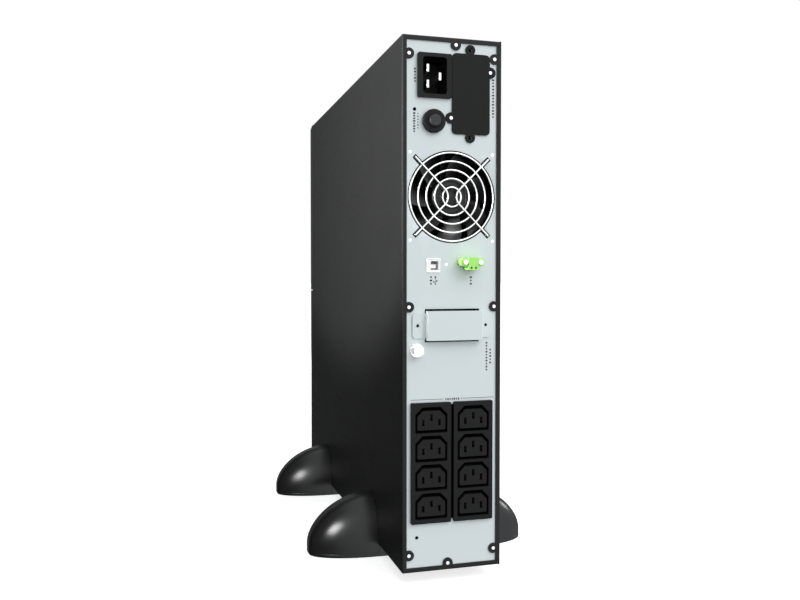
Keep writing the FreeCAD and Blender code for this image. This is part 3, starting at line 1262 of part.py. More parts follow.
def front_bezel():
    """Moulded upper front with a round seat for the display."""
    body = new_body("FrontBezel")
    profile = Outline(body, "BezelProfile", "x", -HALF)
    profile.polygon([(D.case_front, D.bezel_low), (D.case_front, CASE_TOP),
                     (D.bezel_front, CASE_TOP - D.bezel_drop), (D.bezel_front, D.bezel_low)])
    pad(body, profile, D.case_width)
    round_edges(body, D.bezel_round, lambda box: (
        box.YMax < D.bezel_front.value + 0.1 and (box.ZLength > 100 or box.ZMin > CASE_TOP.value - 20)))
    hollow = Outline(body, "BezelHollow", "y", D.bezel_front + D.bezel_wall)
    top = CASE_TOP - D.bezel_drop - D.bezel_wall
    low, side = D.bezel_low + D.bezel_wall, HALF - D.bezel_wall
    hollow.polygon([(-side, low), (side, low), (side, top), (-side, top)])
    pocket(body, hollow, D.case_front - D.bezel_front - D.bezel_wall)
    seats = Outline(body, "BezelSeats", "y", D.bezel_front)
    seats.circle(0, D.display_z, D.display_radius + D.display_fit)
    seats.circle(0, D.power_z, D.power_radius + D.key_clear)
    pocket(body, seats, D.bezel_wall)
    vent_row(body, "BezelVent", D.vent_high, 8)
    vent_row(body, "BezelLowVent", D.vent_middle, 4)
    keep("front_bezel", body)


def battery_door():
    """Moulded lower front that pulls off to reach the battery tray."""
    body = new_body("BatteryDoor")
    profile = Outline(body, "DoorProfile", "x", -HALF)
    profile.polygon([(D.case_front, D.case_bottom), (D.case_front, D.door_high), (D.bezel_front, D.door_high),
                     (D.bezel_front, D.case_bottom + D.bezel_drop)])
    pad(body, profile, D.case_width)
    round_edges(body, D.bezel_round, lambda box: (
        box.YMax < D.bezel_front.value + 0.1 and (box.ZLength > 100 or box.ZMax < D.case_bottom.value + 20)))
    hollow = Outline(body, "DoorHollow", "y", D.bezel_front + D.bezel_wall)
    low, high = D.case_bottom + D.bezel_wall + D.door_floor, D.door_high - D.bezel_wall
    side = HALF - D.bezel_wall
    hollow.polygon([(-side, low), (side, low), (side, high), (-side, high)])
    pocket(body, hollow, D.case_front - D.bezel_front - D.bezel_wall)
    vent_row(body, "DoorVent", D.vent_low, 24)
    grip = Outline(body, "DoorGrip", "y", D.bezel_front)
    grip.rounded(0, D.door_high - D.grip_drop, D.grip_width, D.grip_height, D.bezel_round)
    pocket(body, grip, D.bezel_wall)
    keep("battery_door", body)


def key_places():
    return [((index - 1.5) * D.key_pitch, D.display_z - D.key_drop) for index in range(4)]


def display():
    """Round display module that turns in the bezel, with its window, panel and four keys."""
    face = D.bezel_front - D.display_proud
    wall_back = D.bezel_front + D.bezel_wall
    body = new_body("DisplayHousing")
    disc = Outline(body, "DisplayDisc", "y", face)
    disc.circle(0, D.display_z, D.display_radius)
    pad(body, disc, wall_back + D.display_gap - face)
    collar = Outline(body, "DisplayCollar", "y", wall_back + D.display_gap)
    collar.circle(0, D.display_z, D.display_collar)
    pad(body, collar, D.collar_thick)
    boss = Outline(body, "DisplayBoss", "y", wall_back + D.display_gap + D.collar_thick)
    boss.circle(0, D.display_z, D.display_boss)
    pad(body, boss, D.boss_length)
    recess = Outline(body, "DisplayRecess", "y", face)
    recess.rounded(0, D.display_z + D.window_raise, D.window_width, D.window_tall, D.window_corner)
    pocket(body, recess, D.window_depth)
    holes = Outline(body, "DisplayKeyHoles", "y", face)
    for x, z in key_places():
        holes.circle(x, z, D.key_radius + D.key_clear)
    pocket(body, holes, wall_back + D.key_hole_depth - face)
    keep("display_housing", body)
    width, tall = D.window_width - D.window_clear * 2, D.window_tall - D.window_clear * 2
    pane = new_body("DisplayWindow")
    glass = Outline(pane, "DisplayGlass", "y", face + D.pane_set_back)
    glass.rounded(0, D.display_z + D.window_raise, width, tall, D.window_corner - D.window_clear)
    pad(pane, glass, D.pane_thick)
    keep("display_window", pane)
    cells = new_body("DisplayPanel")
    module = Outline(cells, "DisplayModule", "y", face + D.cells_set_back)
    module.rectangle(0, D.display_z + D.window_raise, width - D.cells_margin * 2,
                     tall - D.cells_margin * 2)
    pad(cells, module, D.cells_thick)
    keep("display_panel", cells)
    for node, (x, z) in zip(("key_escape", "key_up", "key_down", "key_enter"), key_places()):
        name = node.title().replace("_", "")
        key = new_body(name)
        stem = Outline(key, name + "Stem", "y", face - D.key_proud)
        stem.circle(x, z, D.key_radius)
        pad(key, stem, D.key_length)
        round_edges(key, D.key_round, lambda box: box.YMax < D.bezel_front.value - 0.5)
        keep(node, key)


def power_button():
    body = new_body("PowerButton")
    stem = Outline(body, "PowerStem", "y", D.bezel_front - D.display_proud)
    stem.circle(0, D.power_z, D.power_radius)
    pad(body, stem, D.power_length)
    collar = Outline(body, "PowerCollar", "y", D.bezel_front + D.bezel_wall + D.key_clear)
    collar.circle(0, D.power_z, D.power_collar)
    pad(body, collar, D.power_collar_thick)
    round_edges(body, D.power_round, lambda box: box.YMax < D.bezel_front.value - 0.5)
    keep("power_button", body)


def build():
    """Make every sub-part in the order in which it goes together."""
    base_shell()
    cover_shell()
    cover_screws()
    rear_panel()
    for where, y in (("rear", D.stand_rear_y), ("front", D.stand_front_y)):
        for hand, side in (("right", 1), ("left", -1)):
            stand_half("stand_{}_{}".format(where, hand), side, y)
    inlet()
    breaker()
    card_slot()
    fan_frame()
    fan_bearing()
    fan_rotor()
    fan_guard()
    fan_screws()
    usb_port()
    signal_board()
    shut_off_connector()
    bridge_cover()
    battery_connector()
    earth_screw()
    outlet_bank("outlet_bank_right", 1)
    outlet_bank("outlet_bank_left", -1)
    outlet_contacts()
    front_frame()
    mid_partition()
    battery_tray()
    batteries()
    power_board()
    heat_sinks()
    transformer()
    front_bezel()
    battery_door()
    display()
    power_button()


def check():
    """Stop if any object failed or any sub-part has no valid solid."""
    for item in doc.Objects:
        if "Invalid" in item.State or "Error" in item.State:
            raise ValueError("{} failed: {}".format(item.Name, item.State))
    for node, item in NODES.items():
        shape = item.Shape
        if shape.isNull() or not shape.isValid() or not shape.Solids:
            raise ValueError("{} has no valid solid".format(node))


build()
doc.recompute()
check()
os.makedirs("parts", exist_ok=True)
for node_name, part in NODES.items():
    part.Shape.exportStep(os.path.join("parts", node_name + ".step"))
print(len(NODES), "sub-parts")
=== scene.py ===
"""Visual model of an upright two-unit uninterruptible power supply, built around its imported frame.

Lengths are metres in the frame's own axes: +Z up, the front bezel faces -Y, the rear panel faces +Y.
"""

import json
import logging
import math
from dataclasses import dataclass
from enum import Enum
from typing import Callable, Iterable, Sequence

import bmesh
import bpy
from mathutils import Matrix, Vector


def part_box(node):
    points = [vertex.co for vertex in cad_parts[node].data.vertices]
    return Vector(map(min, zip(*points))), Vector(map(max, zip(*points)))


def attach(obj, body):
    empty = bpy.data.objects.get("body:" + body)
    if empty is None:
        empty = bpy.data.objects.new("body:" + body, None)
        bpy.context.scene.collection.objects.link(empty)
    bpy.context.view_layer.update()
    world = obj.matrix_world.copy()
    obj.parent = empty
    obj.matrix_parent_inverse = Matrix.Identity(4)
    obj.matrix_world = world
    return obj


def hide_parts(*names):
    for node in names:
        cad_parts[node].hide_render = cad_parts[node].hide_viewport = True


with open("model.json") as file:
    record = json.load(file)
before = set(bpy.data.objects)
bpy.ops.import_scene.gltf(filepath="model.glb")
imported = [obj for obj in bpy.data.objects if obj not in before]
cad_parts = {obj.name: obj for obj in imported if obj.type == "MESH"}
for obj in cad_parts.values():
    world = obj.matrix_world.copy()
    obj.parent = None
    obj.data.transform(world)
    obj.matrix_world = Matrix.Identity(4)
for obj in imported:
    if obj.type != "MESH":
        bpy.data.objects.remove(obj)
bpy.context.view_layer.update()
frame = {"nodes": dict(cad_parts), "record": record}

MM = 0.001
FULL_TURN = math.tau
REARWARD = Vector((0, 1, 0))
UPWARD = Vector((0, 0, 1))
log = logging.getLogger("power_supply")

Colour = tuple[float, float, float]
Spot = tuple[float, float]


# Shader arithmetic ---------------------------------------------------------------------


class Link:
    """A shader socket that takes part in Python arithmetic."""

    def __init__(self, shader: "Shader", socket: bpy.types.NodeSocket) -> None:
        """Wraps a node's output socket."""
        self.shader = shader
        self.socket = socket

    def __add__(self, other: "Link | float") -> "Link":
        """Sum."""
        return self.shader.maths("ADD", self, other)

    def __sub__(self, other: "Link | float") -> "Link":
        """Difference."""
        return self.shader.maths("SUBTRACT", self, other)

    def __rsub__(self, other: "Link | float") -> "Link":
        """Difference from a number."""
        return self.shader.maths("SUBTRACT", other, self)

    def __mul__(self, other: "Link | float") -> "Link":
        """Product."""
        return self.shader.maths("MULTIPLY", self, other)

    def __gt__(self, other: "Link | float") -> "Link":
        """One where this is larger, else nought."""
        return self.shader.maths("GREATER_THAN", self, other)

    __radd__ = __add__
    __rmul__ = __mul__


class Shader:
    """A material's node tree and the few ways in which its nodes are made."""

    def __init__(self, name: str) -> None:
        """Starts an empty material.

        Args:
            name: the material's name.
        """
        self.material = bpy.data.materials.new(name)
        self.material.use_nodes = True
        self.tree = self.material.node_tree
        self.tree.nodes.clear()
        self.coordinates = Link(self, self.node("ShaderNodeTexCoord").outputs["Object"])

    def node(self, kind: str, settings: dict | None = None, values: dict | None = None) -> bpy.types.Node:
        """Adds a node.

        Args:
            kind: the node's type.
            settings: the node's own properties, and "stops" for a colour ramp; they are set first.
            values: numbers or links for its sockets, by name or index.

        Returns:
            The node.
        """
        node = self.tree.nodes.new(kind)
        for name, value in (settings or {}).items():
            if name == "stops":
                for element, (place, colour) in zip(node.color_ramp.elements, value):
                    element.position = place
                    element.color = (*colour, 1)
            else:
                setattr(node, name, value)
        for name, value in (values or {}).items():
            if isinstance(value, Link):
                self.tree.links.new(value.socket, node.inputs[name])
            else:
                node.inputs[name].default_value = value
        return node

    def maths(self, operation: str, *operands: "Link | float") -> Link:
        """A Math node on one to three operands."""
        values = dict(enumerate(operands))
        return Link(self, self.node("ShaderNodeMath", {"operation": operation}, values).outputs[0])

    def stretched(self, scale: tuple[float, float, float]) -> Link:
        """Object coordinates stretched along the three axes."""
        mapping = self.node("ShaderNodeMapping", None, {"Vector": self.coordinates, "Scale": scale})
        return Link(self, mapping.outputs[0])

    def noise(self, size: float, detail: float = 2.0, vector: Link | None = None) -> Link:
        """Noise whose features are about a given size across.

        Args:
            size: the size of one feature, in metres.
            detail: octaves of finer noise.
            vector: the coordinates, when they aren't the plain object coordinates.

        Returns:
            A value between nought and one.
        """
        values = {"Vector": vector or self.coordinates, "Scale": 1 / size, "Detail": detail}
        return Link(self, self.node("ShaderNodeTexNoise", None, values).outputs["Fac"])

    def cells(self, size: float) -> Link:
        """Distance to the nearest of many scattered points, for pebbled textures."""
        values = {"Vector": self.coordinates, "Scale": 1 / size}
        return Link(self, self.node("ShaderNodeTexVoronoi", None, values).outputs["Distance"])

    def blend(self, amount: Link, first: Colour, second: Colour) -> Link:
        """A colour between two, by a link's value."""
        mix = self.node("ShaderNodeMix", {"data_type": "RGBA"}, {0: amount})
        mix.inputs["A"].default_value = (*first, 1)
        mix.inputs["B"].default_value = (*second, 1)
        return Link(self, next(item for item in mix.outputs if item.type == "RGBA"))

    def relief(self, height: Link, depth: float) -> Link:
        """A bumped normal from a height of nought to one."""
        bump = self.node("ShaderNodeBump", None, {"Height": height, "Distance": depth, "Strength": 1.0})
        return Link(self, bump.outputs["Normal"])

    def surface(self, values: dict) -> bpy.types.Material:
        """Closes the tree with one principled shader.

        Args:
            values: its sockets' numbers and links.

        Returns:
            The finished material.
        """
        principled = self.node("ShaderNodeBsdfPrincipled", None, values)
        output = self.node("ShaderNodeOutputMaterial")
        self.tree.links.new(principled.outputs[0], output.inputs[0])
        return self.material


def darker(colour: Colour, share: float) -> Colour:
    """A colour times a share."""
    return tuple(channel * share for channel in colour)


# Finishes ------------------------------------------------------------------------------


@dataclass(frozen=True)
class Finish:
    """A surface finish; each kind says how it paints itself."""

    name: str
    colour: Colour
    roughness: float

    def paint(self, shader: Shader) -> dict:
        """The principled shader's sockets for this finish."""
        raise NotImplementedError

    def material(self) -> bpy.types.Material:
        """The finish's material, made once."""
        known = bpy.data.materials.get(self.name)
        if known:
            return known
        shader = Shader(self.name)
        return shader.surface(self.paint(shader))


@dataclass(frozen=True)
class PowderCoat(Finish):
    """Sprayed coat on steel sheet: fine pebbles, faint clouding and a few rubbed streaks."""

    grain: float = 0.0006
    depth: float = 0.00003
    clouding: float = 0.12
    specular: float = 0.5

    def paint(self, shader: Shader) -> dict:
        """Cloudy colour, uneven gloss and pebbled relief."""
        cloud = shader.noise(0.05, 3)
        pebbles = shader.cells(self.grain)
        rubbed = shader.noise(0.004, 4, shader.stretched((1, 0.08, 1)))
        colour = shader.blend(cloud, darker(self.colour, 1 - self.clouding),
                              darker(self.colour, 1 + self.clouding))
        return {
            "Base Color": colour,
            "Roughness": self.roughness + (cloud - 0.5) * 0.08 + (rubbed - 0.5) * 0.08,
            "Specular IOR Level": self.specular,
            "Normal": shader.relief(pebbles, self.depth),
        }


@dataclass(frozen=True)
class Moulding(Finish):
    """Moulded plastic: spark-eroded grain over slow changes of gloss."""

    grain: float = 0.0004
    depth: float = 0.00001
    speckle: float = 0.08
    specular: float = 0.5

    def paint(self, shader: Shader) -> dict:
        """Nearly even colour with grain in the relief and the gloss."""
        grain = shader.noise(self.grain, 2)
        flow = shader.noise(0.02, 2)
        mixed = grain * 0.5 + flow * 0.5
        colour = shader.blend(mixed, darker(self.colour, 1 - self.speckle),
                              darker(self.colour, 1 + self.speckle))
        return {
            "Base Color": colour,
            "Roughness": self.roughness + (flow - 0.5) * 0.1,
            "Specular IOR Level": self.specular,
            "Normal": shader.relief(grain, self.depth),
        }


@dataclass(frozen=True)
class Plating(Finish):
    """Bright plated metal with fine handling marks."""

    marks: float = 0.0015

    def paint(self, shader: Shader) -> dict:
        """Metal whose gloss and tone change a little."""
        marks = shader.noise(self.marks, 4)
        dull = shader.noise(0.006, 2)
        return {
            "Base Color": shader.blend(dull, darker(self.colour, 0.86), self.colour),
            "Metallic": 1.0,
            "Roughness": self.roughness + (marks - 0.5) * 0.14,
            "Normal": shader.relief(marks, 0.000004),
        }


@dataclass(frozen=True)
class DrawnMetal(Finish):
    """Rolled or extruded metal, with lines along one axis."""

    along: tuple[float, float, float] = (1, 0.02, 1)
    spangle: float = 0.0

    def paint(self, shader: Shader) -> dict:
        """Streaked gloss, and the cloudy crystals of zinc where there are any."""
        streaks = shader.noise(0.0005, 3, shader.stretched(self.along))
        crystals = shader.cells(0.012)
        tone = streaks * (1 - self.spangle) + crystals * self.spangle
        return {
            "Base Color": shader.blend(tone, darker(self.colour, 0.8), darker(self.colour, 1.1)),
            "Metallic": 1.0,
            "Roughness": self.roughness + (tone - 0.5) * 0.2,
            "Normal": shader.relief(streaks, 0.000006),
        }


@dataclass(frozen=True)
class CircuitLaminate(Finish):
    """Coated circuit board with tracks and pads under its solder mask."""

    track: Colour = (0.05, 0.32, 0.16)

    def paint(self, shader: Shader) -> dict:
        """Tracks drawn by a brick pattern, with a little relief."""
        bricks = shader.node(
            "ShaderNodeTexBrick",
            {"offset": 0.37, "squash": 1.6, "squash_frequency": 3},
            {"Vector": shader.stretched((0.0, 110, 160)), "Scale": 1.0, "Mortar Size": 0.06, "Bias": 0.0},
        )
        tracks = Link(shader, bricks.outputs["Fac"])
        return {
            "Base Color": shader.blend(tracks, self.colour, self.track),
            "Roughness": self.roughness + (shader.noise(0.01) - 0.5) * 0.1,
            "Normal": shader.relief(tracks, 0.00004),
        }


@dataclass(frozen=True)
class Stacked(Finish):
    """Thin layers seen edge on, such as laminations or wound wire."""

    layer: float = 0.0007
    across: tuple[float, float, float] = (1, 0, 0)
    depth: float = 0.0001

    def paint(self, shader: Shader) -> dict:
        """Lines across one axis, slightly uneven in tone."""
        scale = tuple(part / self.layer for part in self.across)
        wave = shader.node(
            "ShaderNodeTexWave",
            {"bands_direction": "DIAGONAL"},
            {"Vector": shader.stretched(scale), "Scale": 0.3, "Distortion": 0.4, "Detail": 1.0},
        )
        lines = Link(shader, wave.outputs["Fac"])
        tone = lines * 0.7 + shader.noise(0.01) * 0.3
        return {
            "Base Color": shader.blend(tone, darker(self.colour, 0.55), darker(self.colour, 1.2)),
            "Roughness": self.roughness + (tone - 0.5) * 0.2,
            "Normal": shader.relief(lines, self.depth),
        }


@dataclass(frozen=True)
class ClearPane(Finish):
    """Clear hard-coated window."""

    def paint(self, shader: Shader) -> dict:
        """See-through, with a trace of smears in the gloss."""
        smears = shader.noise(0.015, 3)
        return {
            "Base Color": (*self.colour, 1),
            "Roughness": self.roughness + smears * 0.03,
            "Alpha": 0.3 + smears * 0.04,
            "IOR": 1.49,
        }


@dataclass(frozen=True)
class SegmentScreen(Finish):
    """Display that is switched off: a grid of faint cells under a film."""

    def paint(self, shader: Shader) -> dict:
        """Faint rows and columns."""
        grid = shader.node(
            "ShaderNodeTexBrick",
            {"offset": 0.0, "squash": 1.0},
            {"Vector": shader.stretched((900, 0, 900)), "Scale": 1.0, "Mortar Size": 0.08},
        )
        lines = Link(shader, grid.outputs["Fac"])
        return {
            "Base Color": shader.blend(lines, self.colour, darker(self.colour, 0.8)),
            "Roughness": self.roughness + (shader.noise(0.01) - 0.5) * 0.08,
        }


class Finishes(Enum):
    """Every finish on the object."""

    CASE = PowderCoat("case_coat", (0.017, 0.0172, 0.0175), 0.5, specular=0.12)
    PANEL = PowderCoat("panel_coat", (0.585, 0.640, 0.645), 0.45, grain=0.0009, depth=0.000012,
                       clouding=0.012, specular=0.3)
    SLOT = PowderCoat("slot_coat", (0.0105, 0.0105, 0.0108), 0.6, specular=0.1)
    SCREW = Plating("bright_screw", (0.9, 0.9, 0.89), 0.16)
    GUARD = Plating("guard_wire", (0.95, 0.95, 0.95), 0.3)
    ZINC = DrawnMetal("zinc_sheet", (0.62, 0.64, 0.66), 0.38, spangle=0.5)
    FOOT = Moulding("foot_gloss", (0.0105, 0.0105, 0.011), 0.25, grain=0.0012, depth=0.000004, specular=0.35)
    SOCKET = Moulding("socket_black", (0.0082, 0.0082, 0.0084), 0.5, specular=0.12)
    BEZEL = Moulding("bezel_black", (0.020, 0.020, 0.021), 0.5, grain=0.0007, depth=0.00002, specular=0.3)
    FAN = Moulding("fan_black", (0.006, 0.006, 0.0062), 0.36, specular=0.3)
    CONNECTOR = Moulding("connector_green", (0.345, 0.75, 0.145), 0.4, speckle=0.04, specular=0.4)
    PALE = Moulding("port_white", (0.84, 0.84, 0.82), 0.35, speckle=0.03)
    BATTERY = Moulding("battery_case", (0.055, 0.06, 0.07), 0.5, grain=0.0008, depth=0.00003)
    KEY = Moulding("key_grey", (0.16, 0.16, 0.165), 0.45)
    RELAY = Moulding("relay_case", (0.04, 0.05, 0.14), 0.4)
    SLEEVE = Moulding("capacitor_sleeve", (0.02, 0.025, 0.06), 0.25)
    BRASS = Plating("contact_brass", (0.78, 0.60, 0.30), 0.3)
    SINK = DrawnMetal("heat_sink", (0.74, 0.75, 0.76), 0.34)
    BOARD = CircuitLaminate("circuit_board", (0.015, 0.16, 0.07), 0.4)
    CORE = Stacked("core_steel", (0.14, 0.14, 0.15), 0.5)
    WINDING = Stacked("coil_tape", (0.52, 0.30, 0.07), 0.4, layer=0.0016, across=(0, 0, 1))
    WINDOW = ClearPane("display_window", (0.12, 0.13, 0.14), 0.06)
    SCREEN = SegmentScreen("display_cells", (0.16, 0.20, 0.17), 0.35)
    PRINT = Moulding("panel_print", (0.02, 0.022, 0.025), 0.55, specular=0.1)


# Mesh work -----------------------------------------------------------------------------


def turned(bm: bmesh.types.BMesh, profile: Sequence[Spot], centre: Vector, axis: Vector = REARWARD,
           steps: int = 48, angle: float = FULL_TURN) -> list[bmesh.types.BMVert]:
    """Spins a profile about an axis.

    Args:
        bm: the mesh that it is added to.
        profile: (radius, distance along the axis) from one end to the other.
        centre: a point on the axis, from which the distances run.
        axis: the direction of the axis, rearward or upward.
        steps: how many steps the turn has.
        angle: how far it turns.

    Returns:
        The new vertices.
    """
    known = set(bm.verts)
    out = Vector((1, 0, 0))
    verts = [bm.verts.new(centre + out * radius + axis * along) for radius, along in profile]
    edges = [bm.edges.new(pair) for pair in zip(verts, verts[1:])]
    whole = angle >= FULL_TURN - 1e-6
    bmesh.ops.spin(bm, geom=verts + edges, cent=centre, axis=axis, angle=angle, steps=steps, use_merge=whole)
    bmesh.ops.remove_doubles(bm, verts=[vert for vert in bm.verts if vert not in known], dist=1e-7)
    return [vert for vert in bm.verts if vert not in known]


def slab(bm: bmesh.types.BMesh, low: Vector, high: Vector) -> list[bmesh.types.BMVert]:
    """Adds a box between two corners and returns its vertices."""
    size = high - low
    matrix = Matrix.Translation((low + high) / 2) @ Matrix.Diagonal((*size, 1))
    return bmesh.ops.create_cube(bm, size=1, matrix=matrix)["verts"]


def wire(bm: bmesh.types.BMesh, start: Vector, end: Vector, radius: float, segments: int = 12) -> None:
    """Adds a straight round bar with closed ends."""
    run = end - start
    matrix = Matrix.Translation((start + end) / 2) @ run.to_track_quat("Z", "Y").to_matrix().to_4x4()
    bmesh.ops.create_cone(bm, cap_ends=True, segments=segments, radius1=radius, radius2=radius,
                          depth=run.length, matrix=matrix)


def hoop(bm: bmesh.types.BMesh, centre: Vector, radius: float, thickness: float, first: float = 0.0,
         angle: float = FULL_TURN, steps: int = 72) -> None:
    """Adds a ring of round wire, or part of one, in the plane of the rear panel.

    Args:
        bm: the mesh that it is added to.
        centre: the ring's centre.
        radius: the ring's radius to the middle of the wire.
        thickness: the wire's radius.
        first: the angle at which the wire starts, from +X towards +Z.
        angle: how far the wire runs round.
        steps: how many steps it has.
    """
    start = centre + Vector((math.cos(first), 0, math.sin(first))) * radius
    facing = Matrix.Rotation(-first, 4, "Y")
    matrix = Matrix.Translation(start) @ facing
    circle = bmesh.ops.create_circle(bm, cap_ends=False, segments=10, radius=thickness, matrix=matrix)
    section = circle["verts"]
    edges = list({edge for vert in section for edge in vert.link_edges})
    bmesh.ops.spin(bm, geom=section + edges, cent=centre, axis=-REARWARD, angle=angle, steps=steps,
                   use_merge=angle >= FULL_TURN - 1e-6)


def carve(bm: bmesh.types.BMesh, cutter: bmesh.types.BMesh) -> bmesh.types.BMesh:
    """Cuts one mesh out of another.

    Args:
        bm: the blank, which is used up.
        cutter: the tool, which is used up.

    Returns:
        The cut mesh.
    """
    objects = []
    for part in (bm, cutter):
        bmesh.ops.recalc_face_normals(part, faces=part.faces)
        mesh = bpy.data.meshes.new("carving")
        part.to_mesh(mesh)
        part.free()
        item = bpy.data.objects.new("carving", mesh)
        bpy.context.scene.collection.objects.link(item)
        objects.append(item)
    blank, tool = objects
    modifier = blank.modifiers.new("cut", "BOOLEAN")
    modifier.operation = "DIFFERENCE"
    modifier.solver = "EXACT"
    modifier.object = tool
    graph = bpy.context.evaluated_depsgraph_get()
    mesh = bpy.data.meshes.new_from_object(blank.evaluated_get(graph))
    result = bmesh.new()
    result.from_mesh(mesh)
    bpy.data.meshes.remove(mesh)
    for item in objects:
        bpy.data.meshes.remove(item.data)
    return result


@dataclass(frozen=True)
class Edge:
    """How a piece's edges are rounded and its faces shaded."""

    width: float = 0.25 * MM
    segments: int = 2
    sharp: float = math.radians(38)


def shade(bm: bmesh.types.BMesh, widest: float = 5 * MM) -> None:
    """Shades wide flat areas flat and everything else smooth.

    Args:
        bm: the mesh.
        widest: how wide a facet of a curved surface may be.
    """
    waiting = set(bm.faces)
    while waiting:
        patch, edge_of_patch = [], [waiting.pop()]
        direction = edge_of_patch[0].normal.copy()
        while edge_of_patch:
            face = edge_of_patch.pop()
            patch.append(face)
            for other in {other for edge in face.edges for other in edge.link_faces}:
                if other in waiting and other.normal.dot(direction) > 0.99999:
                    waiting.discard(other)
                    edge_of_patch.append(other)
        area = sum(face.calc_area() for face in patch)
        reach = max(edge.calc_length() for face in patch for edge in face.edges)
        for face in patch:
            face.smooth = area < reach * widest


def finished(name: str, bm: bmesh.types.BMesh, finish: Finishes, body: str, stands_for: Sequence[str] = (),
             edge: Edge | None = Edge(), outward: bool = True) -> bpy.types.Object:
    """Turns a mesh into a piece of the object.

    Args:
        name: the piece's name.
        bm: its mesh, which is used up.
        finish: its finish.
        body: the body that it moves with.
        stands_for: the CAD nodes that it replaces.
        edge: the rounding of its edges, or None for no rounding.
        outward: whether its normals are worked out again.

    Returns:
        The piece.
    """
    if outward:
        bmesh.ops.recalc_face_normals(bm, faces=bm.faces)
    shade(bm)
    mesh = bpy.data.meshes.new(name)
    bm.to_mesh(mesh)
    bm.free()
    mesh.set_sharp_from_angle(angle=(edge or Edge()).sharp)
    mesh.materials.append(finish.value.material())
    piece = bpy.data.objects.new(name, mesh)
    bpy.context.scene.collection.objects.link(piece)
    if edge:
        bevel = piece.modifiers.new("edges", "BEVEL")
        bevel.width = edge.width
        bevel.segments = edge.segments
        bevel.limit_method = "ANGLE"
        bevel.angle_limit = edge.sharp
        bevel.miter_outer = "MITER_ARC"
    weighted = piece.modifiers.new("shading", "WEIGHTED_NORMAL")
    weighted.keep_sharp = True
    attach(piece, body)
    if stands_for:
        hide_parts(*stands_for)
    log.info("%s rides on %s", name, body)
    return piece


def body_of(node: str) -> str:
    """The body that a CAD node belongs to."""
    bodies = frame["record"]["behaviour"]["bodies"]
    return next(body for body, nodes in bodies.items() if node in nodes)


def merged(node: str) -> bmesh.types.BMesh:
    """A welded copy of a CAD node's mesh."""
    bm = bmesh.new()
    bm.from_mesh(frame["nodes"][node].data)
    bmesh.ops.remove_doubles(bm, verts=bm.verts, dist=2e-6)
    return bm


def machined(node: str, finish: Finishes, edge: Edge | None = Edge()) -> bpy.types.Object:
    """A CAD node with broken edges and a finish, under a name of its own.

    Args:
        node: the CAD node.
        finish: its finish.
        edge: the rounding of its edges, or None for no rounding.

    Returns:
        The piece that stands for the node.
    """
    return finished(node + "_made", merged(node), finish, body_of(node), [node], edge,
                    outward=False)


def middle(node: str) -> Vector:
    """The centre of a CAD node's box."""
    low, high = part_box(node)
    return (Vector(low) + Vector(high)) / 2


# The object ----------------------------------------------------------------------------


@dataclass
class Case:
    """Bent steel cover and base, and the sheets that stiffen them."""

    fold: float = 0.2 * MM

    def build(self) -> None:
        """Makes the shells and the inner sheets."""
        for node in ("cover_shell", "base_shell"):
            machined(node, Finishes.CASE, Edge(self.fold))
        for node in ("front_frame", "mid_partition", "card_cage"):
            machined(node, Finishes.ZINC, Edge(self.fold))


